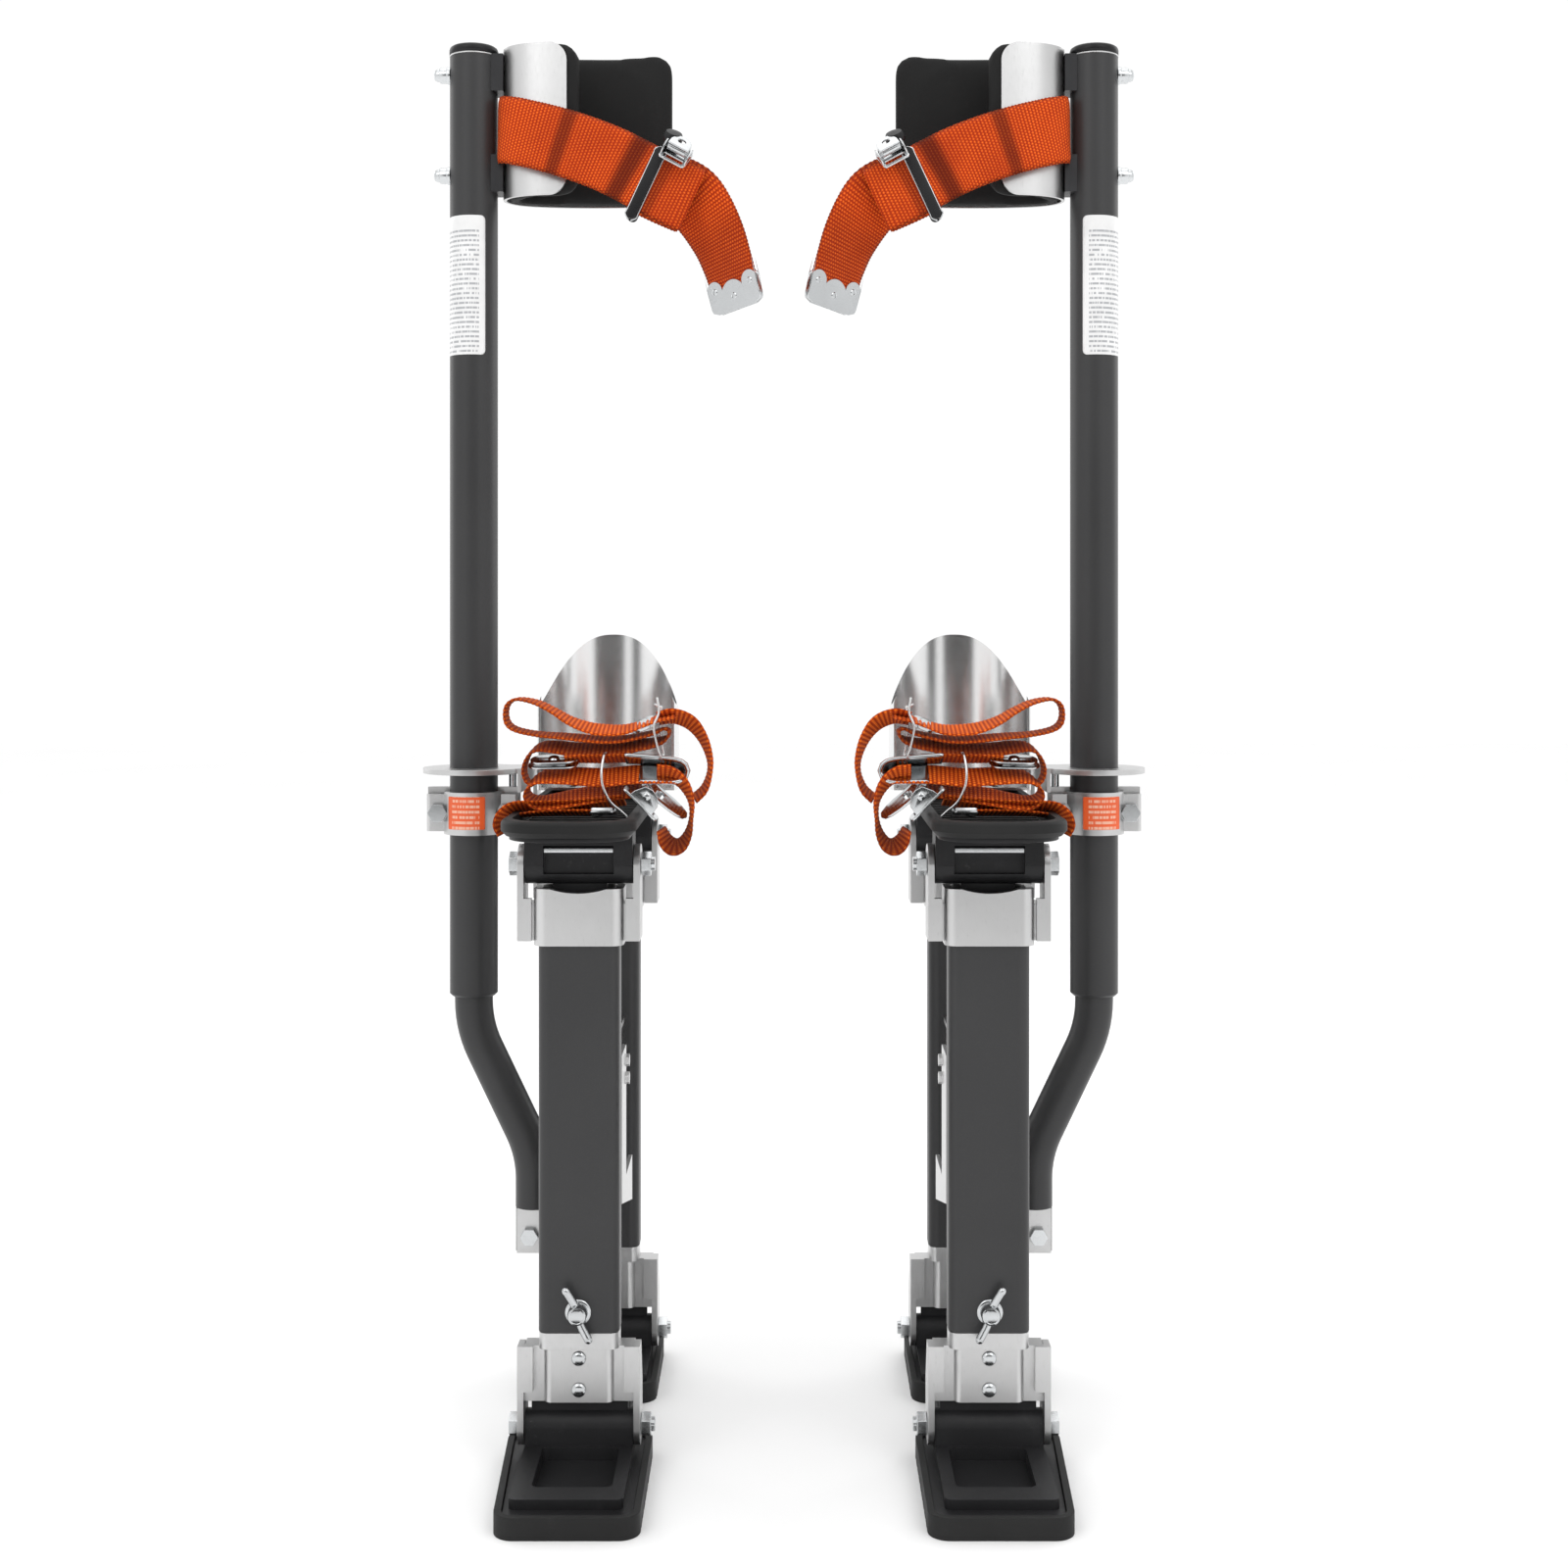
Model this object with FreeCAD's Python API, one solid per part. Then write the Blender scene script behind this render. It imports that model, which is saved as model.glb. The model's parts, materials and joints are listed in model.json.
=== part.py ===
import FreeCAD, Part
import math
import os

# A pair of height-adjustable drywall stilts, in millimetres.
# Frame: +Z up, toes towards -Y, the wearer's right stilt at -X.
# Origin: on the floor, midway between the two stilts and midway along the soles.
# One stilt is modelled about its strut centre plane (x = 0), with the pole at -x, then
# moved out to the right foot and mirrored across X = 0 for the left foot.

V = FreeCAD.Vector

# ---- driving dimensions -------------------------------------------------------------
STILT_X = 144.0            # strut centre plane, from the middle of the pair
FRONT_Y = -60.0            # front strut centre
REAR_Y = 140.0             # rear strut centre
ANKLE_Z = 31.0             # lower hinge axes
KNEE_Z = 427.0             # upper hinge axes
SOLE_TOP = 15.0            # top of the sole's raised rim
FLOOR_TOP = 12.5           # cast floor plate inside the rim
BOX_TOP = 19.5             # raised box of the floor plate
SOLE_FRONT = -178.0
SOLE_REAR = 178.0
SOLE_HALF = 54.0

STRUT_HALF_W = 28.5        # outer strut, half width and half depth
STRUT_HALF_D = 15.0
STRUT_WALL = 2.0
STRUT_CORNER = 8.0
STRUT_BOTTOM = 100.0
STRUT_TOP = 405.0
INNER_HALF_W = 24.9        # inner strut
INNER_HALF_D = 11.4
INNER_CORNER = 6.0
INNER_BOTTOM = 50.0
INNER_TOP = 404.0
WING_BOLT_Z = 115.0
HEIGHT_STEP = 50.8
HEIGHT_HOLES = 6

EAR_INNER = 38.5           # hinge ears, inner and outer faces
EAR_OUTER = 43.0
EAR_HALF_D = 14.0
BARREL_R = 11.0
BARREL_HALF = 38.0
BOLT_R = 5.0
RUNNING = 0.05             # radial clearance of a running fit
OPEN_PIVOT = 0.3           # radial clearance of the opened front upper pivot

PLATE_HALF = 43.5          # foot plate
PLATE_FRONT = -165.0
PLATE_REAR = 165.0
PLATE_Z = 452.0
PLATE_T = 3.0
COVER_TOP = 466.0
COVER_FLOOR = 457.2        # top of the tread, 18 in above the floor

POLE_X = -91.0             # pole axis, outside the struts
POLE_Y = 45.0
POLE_R = 18.0
POLE_WALL = 2.0
POLE_BOTTOM = 315.0
POLE_TOP = 1026.0
LOWER_R = 14.3             # bent lower pole
LOWER_WALL = 1.8
LOWER_X = -44.0            # where the bent pole runs beside the rear strut
CLAMP_LOW = 438.0
CLAMP_HIGH = 470.0
CLAMP_BOLT_X = 26.0        # from the pole axis
CALF_BOLT_Z = (936.0, 1012.0)

BAND_LOW = 917.0
BAND_HIGH = 1031.0
BAND_T = 2.5
CALF_PATH = [(-18, 20), (-42, 23.5), (-57, 30), (-65.2, 38.5), (-67.6, 47), (-65.2, 55.5), (-57, 63.5),
             (-40, 69), (-10, 72), (22, 71), (52, 65)]
STRAP_PATH = [(-71, 50), (-69, 30), (-53, 17), (-22, 10), (22, 6), (60, 9), (92, 14), (112, 16)]


# ---- small helpers ------------------------------------------------------------------
def box(x0, x1, y0, y1, z0, z1):
    return Part.makeBox(x1 - x0, y1 - y0, z1 - z0, V(x0, y0, z0))


def cyl_x(x0, x1, y, z, r):
    return Part.makeCylinder(r, x1 - x0, V(x0, y, z), V(1, 0, 0))


def cyl_y(x, y0, y1, z, r):
    return Part.makeCylinder(r, y1 - y0, V(x, y0, z), V(0, 1, 0))


def cyl_z(x, y, z0, z1, r):
    return Part.makeCylinder(r, z1 - z0, V(x, y, z0), V(0, 0, 1))


def rounded(x0, x1, y0, y1, z0, z1, r):
    """Upright block with its four vertical edges rounded."""
    block = box(x0, x1, y0, y1, z0, z1)
    edges = [e for e in block.Edges if abs(e.tangentAt(e.FirstParameter).z) > 0.99]
    return block.makeFillet(r, edges)


def fuse(first, *others):
    return first.fuse(list(others)).removeSplitter()


def hexagon(across_flats, length, place, direction):
    """Hexagonal bolt head or nut standing on place and growing along direction."""
    r = across_flats / math.sqrt(3)
    points = [V(r * math.cos(math.radians(a)), r * math.sin(math.radians(a)), 0) for a in range(0, 361, 60)]
    head = Part.Face(Part.makePolygon(points)).extrude(V(0, 0, length))
    head.Placement = FreeCAD.Placement(place, FreeCAD.Rotation(V(0, 0, 1), direction))
    return head


def spline(points):
    curve = Part.BSplineCurve()
    curve.interpolate([V(*p) for p in points])
    return curve


def curved_strip(path, near, far, z0, z1, extend=0.0):
    """Upright sheet along a plan path, between two offsets to the left of the path."""
    start, end = V(*path[0], 0), V(*path[-1], 0)
    if extend:
        start = start + (start - V(*path[1], 0)).normalize() * extend
        end = end + (end - V(*path[-2], 0)).normalize() * extend
        path = [(start.x, start.y)] + list(path) + [(end.x, end.y)]
    middle = spline([(x, y, 0) for x, y in path])
    count = 5 * len(path)
    first, last = middle.FirstParameter, middle.LastParameter
    sides = []
    for offset in (near, far):
        side = []
        for i in range(count + 1):
            t = first + (last - first) * i / count
            p, d = middle.value(t), middle.tangent(t)[0]
            side.append((p.x - d.y * offset, p.y + d.x * offset, z0))
        sides.append(side)
    a, b = sides
    wire = Part.Wire([spline(a).toShape(), Part.makeLine(V(*a[-1]), V(*b[-1])),
                      spline(b[::-1]).toShape(), Part.makeLine(V(*b[0]), V(*a[0]))])
    return Part.Face(wire).extrude(V(0, 0, z1 - z0))


def round_ends(strip, thickness, r):
    """Round the four corners of an upright strip's ends."""
    edges = [e for e in strip.Edges if abs(e.Length - thickness) < 0.02 and
             abs(e.tangentAt(e.FirstParameter).z) < 0.01]
    return strip.makeFillet(r, edges)


# ---- floor plate and sole -----------------------------------------------------------
def prism(outline, z0, z1, r):
    """Upright block on a plan outline, its vertical edges rounded."""
    corners = [V(x, y, z0) for x, y in outline]
    block = Part.Face(Part.makePolygon(corners + corners[:1])).extrude(V(0, 0, z1 - z0))
    edges = [e for e in block.Edges if abs(e.tangentAt(e.FirstParameter).z) > 0.99]
    return block.makeFillet(r, edges)


def pads(inset, z0, z1):
    """Outline of the two floor pads and the narrow bridge between them."""
    toe, back = SOLE_FRONT + inset, -29 - inset
    front = prism([(-46 + inset, toe), (50 - inset, toe), (50 - inset, back), (-SOLE_HALF + inset, back)],
                  z0, z1, 14 - inset)
    rear = rounded(-52 + inset, 46 - inset, 59 + inset, SOLE_REAR - inset, z0, z1, 14 - inset)
    bridge = box(-30 + inset, 30 - inset, -40, 70, z0, z1)
    return fuse(front, rear, bridge)


def floor_sole():
    sole = pads(0, 0, SOLE_TOP).cut(pads(5, 6, SOLE_TOP + 1))
    grooves = [box(-SOLE_HALF - 1, SOLE_HALF + 1, y - 1.5, y + 1.5, -1, 2.5)
               for y in (*range(-160, -36, 14), *range(72, 170, 14))]
    return sole.cut(Part.makeCompound(grooves))


def floor_plate():
    """Cast plate with a raised box on each pad, open in the middle, and a hinge barrel on each box."""
    plate = pads(5.3, 6, FLOOR_TOP)
    for y, start, end in ((FRONT_Y, -160, -45), (REAR_Y, 67, 170)):
        raised = rounded(-BARREL_HALF, BARREL_HALF, start, end, FLOOR_TOP - 1, BOX_TOP, 5)
        pedestal = box(-BARREL_HALF, BARREL_HALF, y - BARREL_R, y + BARREL_R, FLOOR_TOP, ANKLE_Z)
        fin = box(-34, 34, y - 3, y + 3, ANKLE_Z, 48.3)
        plate = fuse(plate, raised, pedestal, fin, cyl_x(-BARREL_HALF, BARREL_HALF, y, ANKLE_Z, BARREL_R))
        plate = plate.cut(cyl_x(-60, 60, y, ANKLE_Z, BOLT_R + RUNNING))
    recess_floor = FLOOR_TOP - 2
    plate = plate.cut(rounded(-25, 29, -140, FRONT_Y - 14, recess_floor, 30, 5))
    plate = plate.cut(rounded(-25, 29, 72, REAR_Y - 14, recess_floor, 30, 5))
    return plate.cut(rounded(-25, 29, REAR_Y + 14, 166, recess_floor, 30, 3))


def hinge_bolt(y, z):
    """Through bolt of a hinge, head on the pole side, nut and thread on the inner side."""
    gap = EAR_OUTER + 0.3
    shank = fuse(cyl_x(-gap, 53, y, z, BOLT_R), hexagon(15, 6.5, V(-gap, y, z), V(-1, 0, 0)))
    nut = hexagon(15, 7, V(gap, y, z), V(1, 0, 0)).cut(cyl_x(gap - 1, 60, y, z, BOLT_R))
    return [shank, nut]


def cross_bar(y):
    """Bright bar set into the front recess of an upper hinge block."""
    return box(-24.4, 24.4, y - 14, y - 9.7, 436, 439.4)


# ---- struts -------------------------------------------------------------------------
def inner_strut(y, side):
    """Inner tube with its row of height holes in the outward face (side -1 front, +1 rear)."""
    tube = rounded(-INNER_HALF_W, INNER_HALF_W, y - INNER_HALF_D, y + INNER_HALF_D, INNER_BOTTOM, INNER_TOP,
                   INNER_CORNER)
    wall = 2.4
    tube = tube.cut(rounded(-INNER_HALF_W + wall, INNER_HALF_W - wall, y - INNER_HALF_D + wall,
                            y + INNER_HALF_D - wall, INNER_BOTTOM + 8, INNER_TOP + 1, INNER_CORNER - wall))
    face = y + side * INNER_HALF_D
    for i in range(HEIGHT_HOLES):
        z = WING_BOLT_Z + i * HEIGHT_STEP
        tube = tube.cut(cyl_y(0, face - 4, face + 4, z, 4.5))
    for z in (59, 81):
        tube = fuse(tube, cyl_y(0, min(face, face + side * 1.2), max(face, face + side * 1.2), z, 4.2))
    return tube


def ear(x_side, y, z_axis, z_end, bore):
    """Hinge ear: a plate with one round end on the hinge axis."""
    x0, x1 = sorted((x_side * EAR_INNER, x_side * EAR_OUTER))
    low, high = sorted((z_axis, z_end))
    plate = fuse(box(x0, x1, y - EAR_HALF_D, y + EAR_HALF_D, low, high), cyl_x(x0, x1, y, z_axis, EAR_HALF_D))
    return plate.cut(cyl_x(x0 - 1, x1 + 1, y, z_axis, bore))


def ankle_bracket(y):
    """Forked lower bracket around the foot of the inner strut."""
    web = box(-EAR_INNER, EAR_INNER, y - 8, y + 8, 50, 89)
    collar = rounded(-28, 28, y - 14, y + 14, 88, 99.4, 6)
    slope = Part.makePolygon([V(-60, y + 15, 57), V(-60, y + 15, 92), V(-60, y + 1, 92), V(-60, y + 15, 57)])
    slope = Part.Face(slope).extrude(V(120, 0, 0))
    ears = [ear(s, y, ANKLE_Z, 90, BOLT_R + RUNNING).cut(slope) for s in (-1, 1)]
    flanges = [box(*sorted((s * EAR_INNER, s * 32)), y - EAR_HALF_D, y - 8, 58, 90) for s in (-1, 1)]
    bracket = fuse(web, collar, *ears, *flanges)
    tube = rounded(-INNER_HALF_W - RUNNING, INNER_HALF_W + RUNNING, y - INNER_HALF_D - RUNNING,
                   y + INNER_HALF_D + RUNNING, 40, 120, INNER_CORNER)
    return bracket.cut(tube)


def outer_strut(y, side):
    tube = rounded(-STRUT_HALF_W, STRUT_HALF_W, y - STRUT_HALF_D, y + STRUT_HALF_D, STRUT_BOTTOM, STRUT_TOP,
                   STRUT_CORNER)
    tube = tube.cut(rounded(-STRUT_HALF_W + STRUT_WALL, STRUT_HALF_W - STRUT_WALL, y - STRUT_HALF_D + STRUT_WALL,
                            y + STRUT_HALF_D - STRUT_WALL, STRUT_BOTTOM - 1, STRUT_TOP + 1,
                            STRUT_CORNER - STRUT_WALL))
    face = y + side * STRUT_HALF_D
    return tube.cut(cyl_y(0, face - 4, face + 4, WING_BOLT_Z, 4 + RUNNING))


def wing_bolt(y, side):
    """Wing bolt: washer, hexagonal boss and two swept wings, with a short pilot in the strut wall."""
    face = y + side * (STRUT_HALF_D + 0.3)
    out = V(0, side, 0)
    centre = V(0, face, WING_BOLT_Z)
    washer = Part.makeCylinder(9, 1.6, centre, out)
    boss = hexagon(12.5, 10, centre + out * 1.6, out)
    pilot = Part.makeCylinder(4, 2.0, centre, out * -1)
    wings = []
    for s in (-1, 1):
        wing = fuse(box(-3.2, 3.2, 4, 8, 4, 15), cyl_y(0, 4, 8, 15, 4.6))
        wing.rotate(V(0, 0, 0), V(0, 1, 0), 20)
        wing.rotate(V(0, 0, 0), V(0, 1, 0), 90 - s * 90)
        if side < 0:
            wing.rotate(V(0, 0, 0), V(0, 0, 1), 180)
        wing.translate(centre)
        wings.append(wing)
    return fuse(washer, boss, pilot, *wings)


def top_bracket(y, bore):
    """Collar on the outer strut's head with two hinge ears for the foot plate."""
    collar = rounded(-31.5, 31.5, y - 18, y + 18, 371, 411, 9)
    collar = collar.cut(cyl_y(0, y - 30, y + 30, 411 + 63, 66))
    ears = [ear(s, y, KNEE_Z, 374, bore) for s in (-1, 1)]
    webs = [box(*sorted((s * 30, s * EAR_INNER)), y - 10, y + 10, 374, 400) for s in (-1, 1)]
    lips = [box(*sorted((s * 33, s * EAR_INNER)), y - EAR_HALF_D, y - 10, 374, 404) for s in (-1, 1)]
    bracket = fuse(collar, *ears, *webs, *lips)
    gap = RUNNING
    bracket = bracket.cut(rounded(-STRUT_HALF_W - gap, STRUT_HALF_W + gap, y - STRUT_HALF_D - gap,
                                  y + STRUT_HALF_D + gap, 360, STRUT_TOP + 0.2, STRUT_CORNER))
    return bracket.cut(rounded(-26, 26, y - 13, y + 13, 400, 420, 6))


# ---- springs between the struts -----------------------------------------------------
SPRING_Y = 40.0
SPRING_X = 11.0
SPRING_R = 7.6             # mean coil radius
SPRING_WIRE = 1.4
SEAT_Z = 172.0
SPRING_TOP = 279.5
SPRING_HALF_W = 28.3       # lower bracket, half width
SHEET_T = 3.0              # brackets, sheet thickness


def spring_lower_bracket():
    """Channel on the back of the front strut whose fork stands either side of the spring seat."""
    back = FRONT_Y + STRUT_HALF_D
    web = box(-SPRING_HALF_W, SPRING_HALF_W, back, back + SHEET_T, 182, 288)
    sides = []
    for s in (-1, 1):
        x0, x1 = sorted((s * (SPRING_HALF_W - SHEET_T), s * SPRING_HALF_W))
        sides.append(box(x0, x1, back, -5, 182, 288))
        fork = [V(x0, back, 182), V(x0, 54, 158), V(x0, 54, 192), V(x0, back, 192), V(x0, back, 182)]
        sides.append(Part.Face(Part.makePolygon(fork)).extrude(V(x1 - x0, 0, 0)))
    heads = [hexagon(8, 3, V(SPRING_HALF_W, -12, z), V(1, 0, 0)) for z in (265, 278)]
    return fuse(web, *sides, *heads)


def spring_upper_bracket():
    """Angle on the front of the rear strut that holds the tops of both springs."""
    front = REAR_Y - STRUT_HALF_D
    web = box(-15, 15, front - SHEET_T, front, 228, 284)
    top = box(-17, 17, 26, front, 280, 284)
    gussets = [box(*sorted((s * 12, s * 15)), 92, front, 228, 284) for s in (-1, 1)]
    bracket = fuse(web, top, *gussets)
    for s in (-1, 1):
        bracket = bracket.cut(cyl_z(s * SPRING_X, SPRING_Y, 270, 290, 3))
    return bracket


def spring_rods():
    rods = []
    for s in (-1, 1):
        x = s * SPRING_X
        rod = cyl_z(x, SPRING_Y, 132, 290, 3)
        low_nut = hexagon(10, 5, V(x, SPRING_Y, 132), V(0, 0, 1))
        top_nut = hexagon(10, 5, V(x, SPRING_Y, 284), V(0, 0, 1))
        rods.append(fuse(rod, low_nut, top_nut))
    return rods


def springs():
    """Two coil springs and the seat bar under them."""
    seat = rounded(-22, 22, 28, 52, SEAT_Z, SEAT_Z + 6, 5)
    solids = []
    for s in (-1, 1):
        x = s * SPRING_X
        seat = seat.cut(cyl_z(x, SPRING_Y, SEAT_Z - 1, SEAT_Z + 7, 3 + 0.3))
        base = SEAT_Z + 6 + SPRING_WIRE + 0.1
        length = SPRING_TOP - SPRING_WIRE - base
        helix = Part.makeHelix(length / 11, length, SPRING_R)
        start = helix.Edges[0].valueAt(helix.Edges[0].FirstParameter)
        ahead = helix.Edges[0].tangentAt(helix.Edges[0].FirstParameter)
        section = Part.Wire(Part.makeCircle(SPRING_WIRE, start, ahead))
        coil = Part.Wire(helix.Edges).makePipeShell([section], True, True)
        coil.translate(V(x, SPRING_Y, base))
        solids.append(coil)
    return solids + [seat]


# ---- foot plate ---------------------------------------------------------------------
def plate_outline(grow, z0, z1):
    toe = rounded(-PLATE_HALF - grow, PLATE_HALF + grow, PLATE_FRONT - grow, 0, z0, z1, 30)
    heel = rounded(-PLATE_HALF - grow, PLATE_HALF + grow, -60, PLATE_REAR + grow, z0, z1, 22)
    return fuse(toe, heel)


def foot_plate():
    plate = plate_outline(-3, PLATE_Z, PLATE_Z + PLATE_T)
    for s in (-1, 1):
        for y in (-95, 70):
            plate = plate.cut(box(*sorted((s * 34, s * 37)), y - 20, y + 20, PLATE_Z - 1, PLATE_Z + 9))
    return plate


def foot_plate_cover():
    bottom = PLATE_Z + PLATE_T
    cover = plate_outline(2, bottom, COVER_TOP)
    edges = [e for e in cover.Edges if abs(e.CenterOfMass.z - COVER_TOP) < 0.01]
    cover = cover.makeFillet(3, edges)
    edges = [e for e in cover.Edges if abs(e.CenterOfMass.z - bottom) < 0.01]
    cover = cover.makeChamfer(3.5, edges)
    cover = cover.cut(plate_outline(-5, COVER_FLOOR, COVER_TOP + 1))
    ribs = [box(-36, 36, y - 1.5, y + 1.5, COVER_FLOOR - 0.5, COVER_FLOOR + 1.5) for y in range(-130, 150, 14)]
    return fuse(cover, *ribs)


def hinge_block(y):
    """Block under the foot plate: barrel, body with a front recess, and a tongue towards the strut."""
    barrel = cyl_x(-BARREL_HALF, BARREL_HALF, y, KNEE_Z, EAR_HALF_D)
    body = box(-BARREL_HALF, BARREL_HALF, y - 15, y + 15, KNEE_Z, PLATE_Z)
    tongue = box(-19, 19, y - 3.5, y + 3.5, 406, KNEE_Z)
    block = fuse(barrel, body, tongue)
    block = block.cut(cyl_x(-60, 60, y, KNEE_Z, BOLT_R + RUNNING))
    return block.cut(box(-24.6, 24.6, y - 20, y - 9.5, 421, 441))


HEEL_X = 5.0
HEEL_Y = 113.0
HEEL_R = 56.0
HEEL_TOP = 588.0
HEEL_SIDE_TOP = 528.0


def heel_cup():
    """Half-round heel guard with a parabolic top edge and a slotted floor."""
    z0 = COVER_TOP + 0.4
    shell = cyl_z(HEEL_X, HEEL_Y, z0, HEEL_TOP + 2, HEEL_R).cut(cyl_z(HEEL_X, HEEL_Y, z0, HEEL_TOP + 3, HEEL_R - 2))
    floor = cyl_z(HEEL_X, HEEL_Y, z0, z0 + 2.2, HEEL_R - 1)
    cup = fuse(shell, floor).common(box(-80, 80, HEEL_Y - 18, HEEL_Y + 80, z0, HEEL_TOP + 5))
    steps = 12
    drop = HEEL_TOP - HEEL_SIDE_TOP
    top = []
    for i in range(-steps, steps + 1):
        x = HEEL_R * 1.01 * i / steps
        top.append((HEEL_X + x, 0, HEEL_TOP - drop * (abs(x) / HEEL_R) ** 2.4))
    left, right = V(*top[0]), V(*top[-1])
    low = [V(right.x, 0, z0 - 1), V(left.x, 0, z0 - 1)]
    wire = Part.Wire([spline(top).toShape(), Part.makeLine(right, low[0]), Part.makeLine(low[0], low[1]),
                      Part.makeLine(low[1], left)])
    cup = cup.common(Part.Face(wire).extrude(V(0, 200, 0)))
    for x in (-22, 30):
        slot = fuse(box(x - 2.6, x + 2.6, 104, 130, z0 - 1, z0 + 4), cyl_z(x, 104, z0 - 1, z0 + 4, 2.6),
                    cyl_z(x, 130, z0 - 1, z0 + 4, 2.6))
        cup = cup.cut(slot)
    return cup


# ---- pole ---------------------------------------------------------------------------
def tube_along(wire_points, corner_r, r, wall):
    """Round tube along straight runs joined by tangent arcs."""
    edges = []
    last = wire_points[0]
    for before, at, after in zip(wire_points, wire_points[1:], wire_points[2:]):
        u, v = (before - at).normalize(), (after - at).normalize()
        half = u.getAngle(v) / 2
        reach = corner_r / math.tan(half)
        centre = at + (u + v).normalize() * (corner_r / math.sin(half))
        start, end = at + u * reach, at + v * reach
        middle = centre + (at - centre).normalize() * corner_r
        edges += [Part.makeLine(last, start), Part.Arc(start, middle, end).toShape()]
        last = end
    edges.append(Part.makeLine(last, wire_points[-1]))
    path = Part.Wire(edges)
    ahead = wire_points[1] - wire_points[0]
    solids = []
    for radius in (r, r - wall):
        section = Part.Wire(Part.makeCircle(radius, wire_points[0], ahead))
        solids.append(path.makePipeShell([section], True, False))
    return solids[0].cut(solids[1])


def pole_upper():
    pole = cyl_z(POLE_X, POLE_Y, POLE_BOTTOM, POLE_TOP, POLE_R)
    rim = [e for e in pole.Edges if abs(e.CenterOfMass.z - POLE_BOTTOM) < 0.01 and e.Closed]
    pole = pole.makeChamfer(2.5, rim)
    pole = pole.cut(cyl_z(POLE_X, POLE_Y, POLE_BOTTOM - 1, POLE_TOP + 1, POLE_R - POLE_WALL))
    for z in CALF_BOLT_Z:
        pole = pole.cut(cyl_x(POLE_X - 30, POLE_X + 30, POLE_Y, z, 3.2))
    return pole


def pole_cap():
    head = cyl_z(POLE_X, POLE_Y, POLE_TOP + 0.1, 1033, POLE_R + 0.4)
    rim = [e for e in head.Edges if abs(e.CenterOfMass.z - 1033) < 0.01 and e.Closed]
    head = head.makeFillet(2.5, rim)
    return fuse(head, cyl_z(POLE_X, POLE_Y, POLE_TOP - 9, POLE_TOP + 1, POLE_R - POLE_WALL - 0.05))


def pole_lower():
    """Bent lower tube that telescopes in the pole and ends in a flat tongue."""
    foot_x = LOWER_X - 1
    points = [V(POLE_X, POLE_Y, 520), V(POLE_X, POLE_Y, 292), V(foot_x, POLE_Y, 196), V(foot_x, POLE_Y, 156)]
    tube = tube_along(points, 85, LOWER_R, LOWER_WALL)
    tongue = rounded(LOWER_X - 15, LOWER_X + 11, POLE_Y - 2, POLE_Y + 2, 122, 158, 1)
    return fuse(tube, tongue).cut(cyl_y(LOWER_X - 4, 30, 60, 134, 4 + RUNNING))


def pole_foot_bracket():
    """L-shaped bracket from the rear strut to the tongue of the bent tube."""
    front = POLE_Y - 2
    leaf = box(-58, -STRUT_HALF_W - 0.1, front - 3, front, 121, 155)
    arm = box(-STRUT_HALF_W - 3.1, -STRUT_HALF_W - 0.1, front - 3, REAR_Y + 10, 121, 155)
    return fuse(leaf, arm).cut(cyl_y(LOWER_X - 4, 30, 60, 134, 4 + RUNNING))


def pole_arm():
    """Plate that ties the clamp to the rear strut's head."""
    ring = cyl_z(POLE_X, POLE_Y, 484, 488, 38)
    tab = box(POLE_X, -53, POLE_Y - 16, POLE_Y + 30, 484, 488)
    side = box(-56, -53, POLE_Y - 16, REAR_Y + 14, 470, 488)
    drop = box(-56, -53, REAR_Y - 14, REAR_Y + 14, 378, 488)
    feet = [cyl_x(-56, -EAR_OUTER, REAR_Y, z, 5) for z in (384, 402)]
    arm = fuse(ring, tab, side, drop, *feet)
    return arm.cut(cyl_z(POLE_X, POLE_Y, 480, 492, POLE_R + 0.4))


FLANGE_TOP = CLAMP_HIGH - 2
FLANGE_RISE = 5.0          # the rear half's flanges sit higher


def clamp_half(side):
    """One half of the two-bolt clamp (side -1 in front of the pole, +1 behind it)."""
    barrel = cyl_z(POLE_X, POLE_Y, CLAMP_LOW, CLAMP_HIGH, POLE_R + 4.5)
    rise = FLANGE_RISE if side > 0 else 0
    flange = rounded(POLE_X - 35, POLE_X + 35, POLE_Y - 7, POLE_Y + 7, CLAMP_LOW + 2 + rise, FLANGE_TOP + rise,
                     3)
    half = fuse(barrel, flange)
    y0, y1 = sorted((POLE_Y + side * 0.6, POLE_Y + side * 60))
    half = half.common(box(POLE_X - 60, POLE_X + 60, y0, y1, CLAMP_LOW - 1, CLAMP_HIGH + 9))
    half = half.cut(cyl_z(POLE_X, POLE_Y, CLAMP_LOW - 1, CLAMP_HIGH + 9, POLE_R + RUNNING))
    for s in (-1, 1):
        x = POLE_X + s * CLAMP_BOLT_X
        spot_face = cyl_y(x, *sorted((POLE_Y + side * 7, POLE_Y + side * 30)), 454, 7.8)
        half = half.cut(cyl_y(x, POLE_Y - 60, POLE_Y + 60, 454, 4 + RUNNING)).cut(spot_face)
    return half


def bolt_y(x, z, y_head, y_nut, r, flats):
    """Bolt along Y with its head in front at y_head and its nut behind y_nut."""
    shank = fuse(cyl_y(x, y_head, y_nut + 8, z, r), hexagon(flats, 5.5, V(x, y_head, z), V(0, -1, 0)))
    nut = hexagon(flats, 6, V(x, y_nut, z), V(0, 1, 0)).cut(cyl_y(x, y_nut - 1, y_nut + 9, z, r))
    return [shank, nut]


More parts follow.
